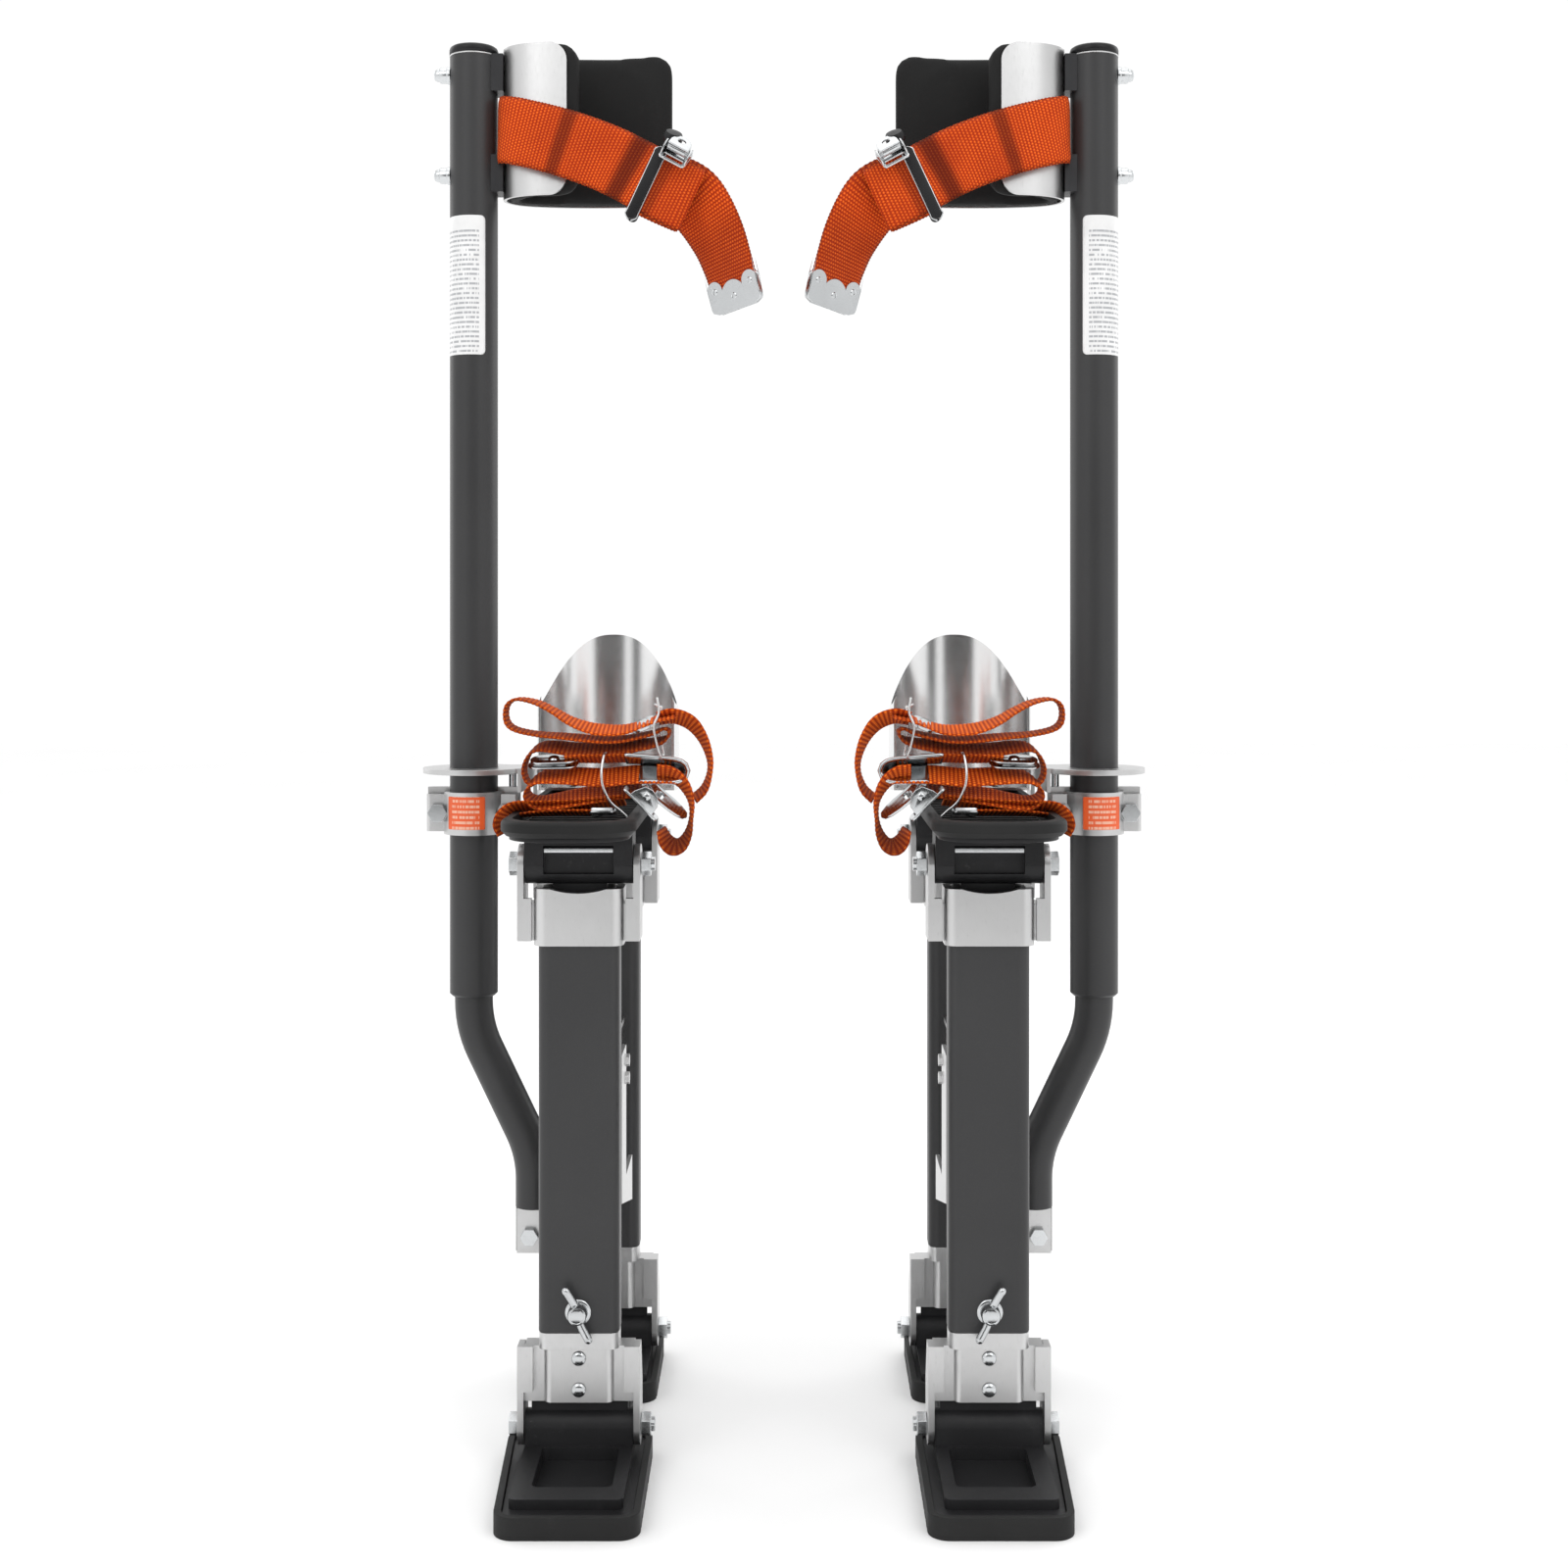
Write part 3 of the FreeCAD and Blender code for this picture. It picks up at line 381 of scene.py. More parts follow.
def printed_label(name, ground, ink, line_pitch, margin, width, ink_share=0.5, head=1.0, gap=-1.0):
    """Label with plain bars in place of print: u across the label, v up it, in metres."""
    s = Shader(name)
    u, v = s.uv()
    row = s.math("FRACT", s.math("DIVIDE", v, line_pitch))
    in_row = s.math("LESS_THAN", row, ink_share)
    index = s.math("FLOOR", s.math("DIVIDE", v, line_pitch))
    where = s.add("ShaderNodeCombineXYZ")
    s.link(s.math("MULTIPLY", u, 900), where.inputs[0])
    s.link(s.math("MULTIPLY", index, 5.37), where.inputs[1])
    words = s.add("ShaderNodeTexNoise")
    words.inputs["Scale"].default_value = 1.0
    words.inputs["Detail"].default_value = 1.0
    s.link(where.outputs[0], words.inputs["Vector"])
    letters = s.math("GREATER_THAN", words.outputs["Fac"], 0.43)
    inside = s.math("LESS_THAN", s.math("ABSOLUTE", u), width / 2 - margin)
    below = s.math("LESS_THAN", v, head)
    clear = s.math("GREATER_THAN", s.math("ABSOLUTE", s.math("SUBTRACT", v, gap)), 0.006)
    inside = s.math("MULTIPLY", inside, s.math("MULTIPLY", below, clear))
    ink_mask = s.math("MULTIPLY", s.math("MULTIPLY", in_row, letters), inside)
    soft = s.math("MULTIPLY", ink_mask, 0.75)
    worn = s.noise(60, 5)
    paper = s.mix(s.span(worn, 0.35, 0.7), ground, tuple(0.9 * g for g in ground))
    s.colour(s.mix(soft, paper, ink))
    s.set(Specular_IOR_Level=0.5, Coat_Weight=0.3, Coat_Roughness=0.25)
    s.roughness(worn, 0.38, 0.55)
    s.bump((worn, 0.05, 0.0003), (ink_mask, 0.05, 0.0001))
    return s.material


MAT = { "graphite_tube": graphite_paint(),
       "satin_aluminium": metal("satin_aluminium", 0.60, (0.28, 0.44), 700, (1, 1, 0.25), 0.12, 0.04),
       "bare_aluminium": metal("bare_aluminium", 0.84, (0.17, 0.25), 900, (1, 1, 0.5), 0.06, 0.04),
       "bright_zinc": metal("bright_zinc", 0.60, (0.12, 0.28), 600, None, 0.03, 0.06,
                            (0.96, 0.985, 1.0)), "spring_steel": metal("spring_steel", 0.42,
                                                                       (0.28, 0.45), 500, None, 0.1,
                                                                       0.06),
       "black_casting": moulded_black("black_casting", (0.016, 0.016, 0.017), (0.34, 0.52), 1500, 0.35,
                                      0.5), "black_rubber": moulded_black("black_rubber",
                                                                          (0.014, 0.014, 0.014),
                                                                          (0.48, 0.68), 2200, 0.25, 0.2),
       "black_plastic": moulded_black("black_plastic", (0.013, 0.013, 0.014), (0.28, 0.42), 900, 0.08,
                                      0.25), "black_foam": moulded_black("black_foam",
                                                                         (0.010, 0.010, 0.010),
                                                                         (0.62, 0.82), 1900, 0.30),
       # Webbing colours are a base colour, a painted highlight colour and a painted shade colour.
       "orange_webbing": woven("orange_webbing", (0.92, 0.120, 0.005), (1.0, 0.30, 0.03),
                               (0.24, 0.014, 0.002), 0.0026, 0.0030), }
MAT["dark_hardware"] = moulded_black("dark_hardware", (0.03, 0.03, 0.032), (0.3, 0.45), 800, 0.1, 0.3)
MAT["calf_webbing"] = woven("calf_webbing", (0.86, 0.085, 0.005), (1.0, 0.24, 0.03),
                            (0.28, 0.014, 0.002), 0.0023, 0.0026)
MAT["pole_label"] = printed_label("pole_label", (0.80, 0.80, 0.80), (0.25, 0.26, 0.28), 0.0036, 0.004,
                                  0.047, 0.45, head=0.090, gap=0.049)
MAT["clamp_label"] = printed_label("clamp_label", (0.78, 0.10, 0.012), (0.85, 0.55, 0.40), 0.0040, 0.002,
                                   0.026)
ZINC = MAT["bright_zinc"]
MAT["tie_wire"] = metal("tie_wire", 0.70, (0.2, 0.35), 300, None, 0.05, 0.05)


# ---- CAD parts: materials, and fine edge rounding where it shows ----
record = frame["record"]
SLOT_OF = {part["node"]: part["material_slot"] for part in record["subparts"]}
BODY_OF = {node: body for body, nodes in record["behaviour"]["bodies"].items() for node in nodes}
for node, obj in frame["nodes"].items():
    obj.data.materials.clear()
    obj.data.materials.append(MAT[SLOT_OF[node]])
    for polygon in obj.data.polygons:
        polygon.material_index = 0

EDGE_ROUND = {
    "front_shank": 0.0008, "rear_shank": 0.0008, "front_brackets": 0.0008, "rear_brackets": 0.0007,
    "pole_clamp": 0.0007, "hinge_blocks": 0.001, "hinge_bolts": 0.0005, "rear_fasteners": 0.0004,
    "foot_plate": 0.0005,
}


def refined(node, width):
    """Copy of a CAD part's own shape with its sharp edges slightly rounded."""
    source = frame["nodes"][node]
    bm = bmesh.new()
    bm.from_mesh(source.data)
    bmesh.ops.remove_doubles(bm, verts=bm.verts, dist=2e-6)
    bmesh.ops.dissolve_limit(bm, angle_limit=math.radians(0.6), verts=bm.verts, edges=bm.edges)
    mesh = bpy.data.meshes.new(node + "_finished")
    bm.to_mesh(mesh)
    bm.free()
    obj = bpy.data.objects.new(node + "_finished", mesh)
    scene.collection.objects.link(obj)
    mesh.polygons.foreach_set("use_smooth", [True] * len(mesh.polygons))
    bevel = obj.modifiers.new("edges", "BEVEL")
    bevel.width = width
    bevel.segments = 2
    bevel.limit_method = "ANGLE"
    bevel.angle_limit = math.radians(38)
    bevel.use_clamp_overlap = True
    flat = obj.modifiers.new("flat_faces", "WEIGHTED_NORMAL")
    flat.mode = "FACE_AREA"
    flat.weight = 60
    obj.data.materials.append(MAT[SLOT_OF[node]])
    finish_piece(obj, BODY_OF[node], SLOT_OF[node], node)
    return obj


def finish_piece(obj, body, slot, *nodes):
    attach(obj, body)
    if nodes:
        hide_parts(*nodes)
    return obj


for side in SIDES:
    for part, width in EDGE_ROUND.items():
        refined(f"{side}_{part}", width)
for part, width in (("floor_plates", 0.0010), ("floor_soles", 0.0012), ("ankle_bolts", 0.0005)):
    refined(part, width)

# ---- places of one stilt, in metres from its strut plane ----
pole_low, pole_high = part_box("right_pole_upper")
POLE_X = STRUT_X - abs((pole_low.x + pole_high.x) / 2)
POLE_Y = (pole_low.y + pole_high.y) / 2
POLE_R = (pole_high.x - pole_low.x) / 2
POLE_TOP = pole_high.z
LABEL_LOW, LABEL_HIGH = 0.7985, 0.9030


def lathe(name, side, profile, x, y, material, steps=64):
    """Ring or cap about an upright axis, from a closed profile of (radius, z)."""
    n = len(profile)
    verts = [(x + r * math.cos(2 * math.pi * i / steps), y + r * math.sin(2 * math.pi * i / steps), z)
             for i in range(steps) for r, z in profile]
    faces = [(i * n + j, ((i + 1) % steps) * n + j, ((i + 1) % steps) * n + (j + 1) % n,
              i * n + (j + 1) % n) for i in range(steps) for j in range(n)]
    return add_mesh(name, verts, faces, material, side)


def wrapped_label(name, side, radius, x, y, z0, z1, from_deg, to_deg, corner, material):
    """Thin label wrapped round an upright cylinder; degrees from the front towards the other stilt."""
    rows, columns = 40, 28
    verts, uvs = [], []
    middle = (z0 + z1) / 2
    for i in range(rows + 1):
        share = i / rows
        z = z0 + (z1 - z0) * (0.5 - 0.5 * math.cos(math.pi * share))
        end = min(z - z0, z1 - z)
        inset = corner - math.sqrt(corner ** 2 - (corner - end) ** 2) if end < corner else 0.0
        a0 = math.radians(from_deg) + inset / radius
        a1 = math.radians(to_deg) - inset / radius
        for j in range(columns + 1):
            a = a0 + (a1 - a0) * j / columns
            verts.append((x + radius * math.sin(a), y - radius * math.cos(a), z))
            uvs.append(((a - (math.radians(from_deg) + math.radians(to_deg)) / 2) * radius, z - middle))
    w = columns + 1
    faces = [(i * w + j, i * w + j + 1, (i + 1) * w + j + 1, (i + 1) * w + j)
             for i in range(rows) for j in range(columns)]
    label = add_mesh(name, verts, faces, material, side, uvs)
    solid = label.modifiers.new("thickness", "SOLIDIFY")
    solid.thickness = 0.00018
    solid.offset = -1
    return label


def pole_details(side):
    """End ring, cap and label of the upper pole, domed nuts of the calf band and the clamp's label."""
    body = f"{side}_pole"
    r = POLE_R
    ring = lathe("pole_end_ring", side,
                 [(r - 0.0012, POLE_TOP - 0.0010), (r + 0.0002, POLE_TOP - 0.0010),
                  (r + 0.0004, POLE_TOP - 0.0006), (r + 0.0004, POLE_TOP - 0.0001),
                  (r - 0.0012, POLE_TOP)], POLE_X, POLE_Y, MAT["satin_aluminium"])
    finish_piece(ring, body, "satin_aluminium")
    cap = lathe("pole_cap_moulded", side,
                [(0.0001, POLE_TOP - 0.013), (r - 0.0022, POLE_TOP - 0.013),
                 (r - 0.0022, POLE_TOP + 0.0002), (r + 0.0004, POLE_TOP + 0.0002),
                 (r + 0.0004, POLE_TOP + 0.0040), (r - 0.0002, POLE_TOP + 0.0057),
                 (r - 0.0016, POLE_TOP + 0.0067), (r - 0.0050, POLE_TOP + 0.0070),
                 (r - 0.0070, POLE_TOP + 0.0064), (0.0001, POLE_TOP + 0.0062)], POLE_X, POLE_Y,
                MAT["black_plastic"])
    finish_piece(cap, body, "black_plastic", f"{side}_pole_cap")
    label = wrapped_label("pole_label", side, r + 0.0002, POLE_X, POLE_Y, LABEL_LOW, LABEL_HIGH, -118,
                          36, 0.0035, MAT["pole_label"])
    finish_piece(label, body, "black_plastic")
    bolt_low, bolt_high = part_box("right_calf_mounts")
    for i, z in enumerate((bolt_low.z + 0.014, bolt_high.z - 0.014)):
        nut = lathe_about(f"calf_dome_nut_{i}", side, (POLE_X - r, POLE_Y, z), (-1, 0, 0),
                          mm([(0, -0.6), (6.6, -0.6), (6.8, 1.2), (6.4, 2.1), (6.1, 2.2), (6.1, 6.6),
                              (5.7, 7.6), (4.9, 7.9), (4.7, 9.8), (3.7, 11.4), (2, 12.2), (0, 12.4)]),
                          ZINC)
        finish_piece(nut, body, "bright_zinc")
    clamp_low, clamp_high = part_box("right_pole_clamp")
    label = wrapped_label("clamp_label", side, r + 0.0047, POLE_X, POLE_Y, clamp_low.z + 0.0045,
                          clamp_high.z - 0.006, -48, 30, 0.001, MAT["clamp_label"])
    finish_piece(label, f"{side}_rear_leg", "orange_webbing")


# ---- springs ----
def spring_pair(side):
    """Two coils with closed ends on a seat bar, between the seat and the rear leg."""
    low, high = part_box(f"{side}_springs")
    seat_height = 0.006
    wire = 0.0015
    coil_r = 0.0076
    mid_y = (low.y + high.y) / 2
    rod_x = 0.011
    turns, dead, around = 11, 1.0, 24
    for i, x in enumerate((-rod_x, rod_x)):
        points = []
        steps = int((turns + 2 * dead) * around)
        bottom, top = low.z + seat_height + wire, high.z - wire
        for k in range(steps + 1):
            t = k / around
            z = np.interp(t, (0, dead, turns + dead, turns + 2 * dead),
                          (bottom, bottom + 2 * wire, top - 2 * wire, top))
            a = 2 * math.pi * t
            points.append((x + coil_r * math.cos(a), mid_y + coil_r * math.sin(a), z))
        coil = tube(f"coil_{i + 1}", side, points, wire, MAT["spring_steel"], spacing=0.0016, segments=10)
        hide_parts(f"{side}_springs")
        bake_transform(coil)
    half_x, half_y = 0.022, 0.012
    outline = round_rect(-half_x, half_x, -half_y, half_y, 0.005)
    verts = []
    inset = 0.0008
    levels = [(low.z, inset), (low.z + inset, 0), (low.z + seat_height - inset, 0),
              (low.z + seat_height, inset)]
    for z, shrink in levels:
        verts += [(x * (1 - shrink / half_x), mid_y + y * (1 - shrink / half_y), z) for x, y in outline]
    faces = ring_faces(len(levels), len(outline))
    seat = add_mesh("spring_seat_bar", verts, faces, MAT["spring_steel"], side)
    finish_piece(seat, f"{side}_spring_seat", "spring_steel", f"{side}_springs")


# ---- flat metal pieces ----
def slab(name, side, outlines, origin, u, v, thick, material, bevel=0.0004, resolution=2):
    """Plate with softened edges: outlines are lists of (u, v) metres, the first outer, the rest holes."""
    curve = bpy.data.curves.new(name + "_outline", "CURVE")
    curve.dimensions = "2D"
    curve.fill_mode = "BOTH"
    curve.extrude = max(thick / 2 - bevel, 1e-5)
    curve.bevel_depth = bevel
    curve.bevel_resolution = resolution
    curve.offset = -bevel
    for outline in outlines:
        line = curve.splines.new("POLY")
        line.points.add(len(outline) - 1)
        for point, (a, b) in zip(line.points, outline):
            point.co = (a, b, 0, 1)
        line.use_cyclic_u = True
    holder = bpy.data.objects.new(name + "_outline", curve)
    scene.collection.objects.link(holder)
    bpy.context.view_layer.update()
    flat = bpy.data.meshes.new_from_object(holder.evaluated_get(bpy.context.evaluated_depsgraph_get()))
    u, v = Vector(u).normalized(), Vector(v).normalized()
    w = u.cross(v)
    origin = Vector(origin)
    verts = [origin + u * p.co.x + v * p.co.y + w * p.co.z for p in flat.vertices]
    faces = [tuple(f.vertices) for f in flat.polygons]
    bpy.data.objects.remove(holder)
    bpy.data.curves.remove(curve)
    bpy.data.meshes.remove(flat)
    return weld(add_mesh(name, verts, faces, material, side), 50)


def round_rect(x0, x1, y0, y1, r, steps=6):
    points = []
    for cx, cy, start in ((x1 - r, y1 - r, 0), (x0 + r, y1 - r, 90), (x0 + r, y0 + r, 180),
                          (x1 - r, y0 + r, 270)):
        for i in range(steps + 1):
            a = math.radians(start + 90 * i / steps)
            points.append((cx + r * math.cos(a), cy + r * math.sin(a)))
    return points


def circle(x, y, r, steps=28):
    return [(x + r * math.cos(2 * math.pi * i / steps), y + r * math.sin(2 * math.pi * i / steps))
            for i in range(steps)]


def lobed_end(half, lobes, reach, corner):
    """Outline of a strap's metal end: round lobes on the webbing side (+v), a plain rounded end (-v)."""
    points = [(half - corner, -reach), (half - corner * 0.3, -reach + corner * 0.3),
              (half, -reach + corner)]
    count = 72
    for i in range(count + 1):
        a = half - 2 * half * i / count
        top = max(cb + math.sqrt(max(r * r - (a - ca) ** 2, 0)) if abs(a - ca) < r else -reach * 0.35
                  for ca, cb, r in lobes)
        points.append((a, top))
    points += [(-half, -reach + corner), (-half + corner * 0.3, -reach + corner * 0.3),
               (-half + corner, -reach)]
    return points


def rivet(name, side, place_at, normal, r, rise, material):
    """Low domed rivet head."""
    n = Vector(normal).normalized()
    a = n.orthogonal().normalized()
    b = n.cross(a)
    rings, steps = 5, 20
    verts = []
    for i in range(rings):
        t = i / rings
        height = rise * math.sqrt(max(0.0, 1 - (1 - t) ** 2)) if t else 0
        for j in range(steps):
            angle = 2 * math.pi * j / steps
            verts.append(Vector(place_at) + (a * math.cos(angle) + b * math.sin(angle)) * r * (1 - t) + n
                         * height)
    verts.append(Vector(place_at) + n * rise)
    faces = ring_faces(rings, steps, capped=False)
    faces += [((rings - 1) * steps + j, (rings - 1) * steps + (j + 1) % steps, len(verts) - 1)
              for j in range(steps)]
    return add_mesh(name, verts, faces, material, side)


def mm(points):
    return [tuple(c * MM for c in p[:3]) + tuple(p[3:]) for p in points]


def hold(obj, side, group="foot_plate", slot="bright_zinc"):
    return finish_piece(obj, f"{side}_{group}", slot)


# ---- calf strap ----
CALF_W, CALF_T = 0.050, 0.0022
FOOT_W, FOOT_T = 0.025, 0.0019
CALF_RIB, CALF_PITCH = 0.00034, 0.0026
FOOT_RIB, FOOT_PITCH = 0.00048, 0.0030
CALF_MAIN = [
    (-70.5, 41, 968, 0), (-70, 33, 967.5, 1), (-66.5, 25.5, 966.3, 3), (-58, 19.5, 964.3, 8),
    (-48, 16.4, 961.6, 13), (-36, 13.5, 958.3, 16.5), (-22, 11, 954.0, 19), (-3.4, 8, 947.3, 22),
    (14.7, 6.0, 939.8, 25), (30.8, 4.0, 931.5, 27), (44.6, 0.5, 923.5, 27), (57.3, -1.0, 916.8, 26),
    (68.5, -0.8, 911.3, 25), (73.0, 0.8, 909.3, 25), (75.2, 3.4, 908.4, 25), (73.0, 6.0, 909.3, 25),
    (68.5, 7.2, 911.3, 25), (57, 8.2, 916.5, 25), (47, 9.5, 921.5, 25),
]
CALF_TAIL = [
    (50, 11.5, 925, 0), (62, 12, 920.5, 4), (75.1, 12.5, 913.3, 12), (85.6, 13.5, 900.1, 24),
    (95.2, 14, 882.5, 34), (101.4, 14.5, 866.0, 40), (105.3, 14.8, 853.0, 42), (108.4, 15, 839.5, 42),
]


def calf_strap(side):
    """Folded calf webbing, its hanging tail and the riveted metal tip."""
    body = f"{side}_pole"
    # The dark items of the calf webbing and its tail are painted shade where the webbing bends and turns
    # away.
    main = webbing("calf_webbing", side, mm(CALF_MAIN), CALF_W, CALF_T, MAT["calf_webbing"],
                   rib=CALF_RIB, pitch=CALF_PITCH,
                   dark=((0.066, 0.006, 0.62), (0.121, 0.008, 0.78), (0.1465, 0.006, 0.50)))
    finish_piece(main, body, "orange_webbing", f"{side}_calf_strap")
    tail = webbing("calf_webbing_tail", side, mm(CALF_TAIL), CALF_W * 0.97, CALF_T, MAT["calf_webbing"],
                   facing=(0, -1, 0), rib=CALF_RIB, pitch=CALF_PITCH,
                   dark=((0.012, 0.018, 0.45), (0.08, 0.03, 0.25)))
    finish_piece(tail, body, "orange_webbing")

    middle, along, wide, face, _ = run_frames(mm(CALF_TAIL), 0.0025, facing=(0, -1, 0))
    end, way, across = Vector(middle[-1]), Vector(along[-1]), Vector(wide[-1])
    lobes = ((-0.0180, 0.0080, 0.0072), (0.0, 0.0010, 0.0115), (0.0180, 0.0080, 0.0072))
    tip = slab("calf_strap_end", side, [lobed_end(0.0253, lobes, 0.0085, 0.0075)], end, across, -way,
               0.0042, ZINC, bevel=0.0007)
    hold(tip, side, "pole")
    normal = across.cross(-way)
    for i, (a, b, _) in enumerate(lobes):
        for j, face_side in enumerate((1, -1)):
            spot = end + across * a - way * b + normal * face_side * 0.0021
            hold(rivet(f"calf_end_rivet_{i}_{j}", side, spot, normal * face_side, 0.0026, 0.0007,
                       ZINC), side, "pole")


def slide_loop(side):
    """Black oblong slide with bright wire edges, across the calf strap."""
    top, low = Vector((0.0546, -0.0022, 0.9466)), Vector((0.0303, -0.0022, 0.8945))
    up = (top - low).normalized()
    out = up.cross(Vector((0, 1, 0))).normalized()
    centre_at = (top + low) / 2
    half = (top - low).length / 2
    oblong = round_rect(-half, half, -0.0038, 0.0038, 0.0036, 8)
    bar = slab("calf_slide", side, [oblong], centre_at + Vector((0, -0.0006, 0)), up, out, 0.0026,
               MAT["black_plastic"], bevel=0.0009, resolution=3)
    finish_piece(bar, f"{side}_pole", "black_plastic", f"{side}_calf_buckle")
    for i, offset in enumerate((-0.0042, 0.0042)):
        points = []
        for t in np.linspace(-1, 1, 21):
            curl = max(0.0, abs(t) - 0.9) / 0.1
            p = centre_at + up * (t * (half + 0.0006)) + out * offset * (1 - curl
                                                                         * 0.75) + Vector((0,
                                                                                           0.0006 + 0.002
                                                                                           * curl, 0))
            points.append(tuple(p))
        wire = tube(f"calf_slide_wire_{i}", side, points, 0.0007, ZINC, spacing=0.001, segments=10)
        hold(wire, side, "pole")
    back = slab("calf_slide_back", side, [oblong], centre_at + Vector((0, 0.0125, 0)), up, out, 0.0022,
                MAT["black_plastic"], bevel=0.0008)
    hold(back, side, "pole", "black_plastic")


def spring_coil(name, side, centre_at, axis, r, wire, turns, legs, group):
    """Small torsion spring with straight legs."""
    axis = Vector(axis).normalized()
    a = axis.orthogonal().normalized()
    b = axis.cross(a)
    points = []
    pitch = wire * 2.15
    steps = int(turns * 18)
    for i in range(steps + 1):
        t = 2 * math.pi * turns * i / steps
        points.append(Vector(centre_at) + a * r * math.cos(t) + b * r * math.sin(t)
                      + axis * (pitch * (turns * i / steps - turns / 2)))
    start = (points[0] - points[1]).normalized() * legs + points[0]
    end = (points[-1] - points[-2]).normalized() * legs + points[-1]
    points = [start] + points + [end]
    obj = tube(name, side, [tuple(p) for p in points], wire, ZINC, spacing=wire * 0.7, segments=8)
    return hold(obj, side, group)


def cam_buckle(side, label, group, lever_group, pivot, u, v, width, size, frame_nodes, lever_nodes):
    """Cam buckle: base plate with window, two cheeks, pin, toothed cam and a small spring; the caller
    adds the lever.

    u runs along the strap, v across it and the plate faces u x v; size scales the fittings.
    """
    u, v = Vector(u).normalized(), Vector(v).normalized()
    w = u.cross(v)
    at = Vector(pivot)
    half = width / 2 + 0.0025 * size
    base = slab(f"{label}_base", side, [round_rect(-0.016 * size, 0.017 * size, -half, half,
                                                   0.003 * size), round_rect(-0.012 * size,
                                                                             -0.006 * size,
                                                                             -half + 0.004 * size,
                                                                             half - 0.004 * size,
                                                                             0.0015 * size),
                                        round_rect(0.006 * size, 0.013 * size, -half + 0.004 * size,
                                                   half - 0.004 * size, 0.0015 * size)],
                at - w * 0.008 * size, u, v, 0.0018 * size, ZINC, bevel=0.0005 * size)
    finish_piece(base, f"{side}_{group}", "bright_zinc", *frame_nodes)
    cheek = mm([(-10, -8.5), (12, -8.5), (11.5, -3), (6.5, 4.8), (0, 6.2), (-5.5, 4.5), (-9, -3)])
    cheek = [(a * size, b * size) for a, b in cheek]
    for i, edge in enumerate((-half + 0.001 * size, half - 0.001 * size)):
        piece = slab(f"{label}_cheek_{i}", side, [cheek, circle(0, 0, 0.0018 * size, 18)],
                     at + v * edge, u, w, 0.0017 * size, ZINC, bevel=0.0004 * size)
        hold(piece, side, group)
        head = rivet(f"{label}_pin_head_{i}", side, at + v * (edge + math.copysign(0.0009 * size, edge)),
                     v * math.copysign(1, edge), 0.0031 * size, 0.0014 * size, ZINC)
        hold(head, side, group)
    pin = tube(f"{label}_pin", side, [tuple(at - v * half), tuple(at), tuple(at + v * half)],
               0.0017 * size, ZINC, spacing=0.004, segments=16)
    hold(pin, side, group)

    profile = []
    for i in range(40):
        a = 2 * math.pi * i / 40
        r = 0.0046 * size * (1 + 0.16 * math.cos(a + 0.6)) + (0.0005 * size if i % 2 and 8 < i < 24
                                                              else 0)
        profile.append((r * math.cos(a), r * math.sin(a)))
    cam = slab(f"{label}_cam", side, [profile], at, u, w, width - 0.003 * size, ZINC, bevel=0.0003 * size)
    finish_piece(cam, f"{side}_{lever_group}", "bright_zinc", *lever_nodes)
    spring_coil(f"{label}_spring", side, at + v * (half - 0.0048 * size) + w * 0.0004, v, 0.0052 * size,
                0.0006 * size, 2.6, 0.006 * size, group)
    return at, u, v, w, half


def calf_buckle(side):
    """Cam buckle at the upper edge of the folded calf strap, its lever ending in a black grip."""
    pivot = (0.0667, -0.012, 0.943)
    along, cross = Vector((-0.330, -0.711, -0.617)), Vector((0.882, 0, -0.471))
    size = 0.66
    at, u, v, w, half = cam_buckle(side, "calf_buckle", "pole", "calf_lever", pivot, along, cross,
                                   0.0175, size, (f"{side}_calf_buckle",), (f"{side}_calf_buckle_lever",))
    handle = mm([(-3.5, -9), (6, -9), (12, -7.5), (16.5, -4), (18, 0), (16.5, 4), (12, 7.5), (6, 9),
                 (-3.5, 9)])
    handle = [(a * size, b * 0.9) for a, b in handle]
    lever = slab("calf_lever", side, [handle, round_rect(0.0028, 0.0078, -0.003, 0.003, 0.0022)],
                 at + w * 0.0040 + u * 0.001, -u, v, 0.0016, ZINC, bevel=0.0005)
    finish_piece(lever, f"{side}_calf_lever", "bright_zinc")
    knob = lathe_about("calf_knob", side, (0.0622, -0.004, 0.9528), (0.3, -0.5, 0.8),
                       mm([(0, -3), (6.2, -3), (7.4, -1), (7.6, 2), (6, 4.8), (0, 5.8)]),
                       MAT["black_plastic"])
    hold(knob, side, "calf_lever", "black_plastic")


def lathe_about(name, side, centre_at, axis, profile, material, steps=40):
    """Turned piece about any axis from a profile of (radius, distance along the axis)."""
    axis = Vector(axis).normalized()
    a = axis.orthogonal().normalized()
    b = axis.cross(a)
    n = len(profile)
    verts = [Vector(centre_at) + (a * math.cos(2 * math.pi * i / steps) + b
                                  * math.sin(2 * math.pi * i / steps)) * r + axis * h
             for i in range(steps) for r, h in profile]
    faces = [(i * n + j, ((i + 1) % steps) * n + j, ((i + 1) % steps) * n + j + 1, i * n + j + 1)
             for i in range(steps) for j in range(n - 1)]
    return weld(add_mesh(name, verts, faces, material, side), 40)


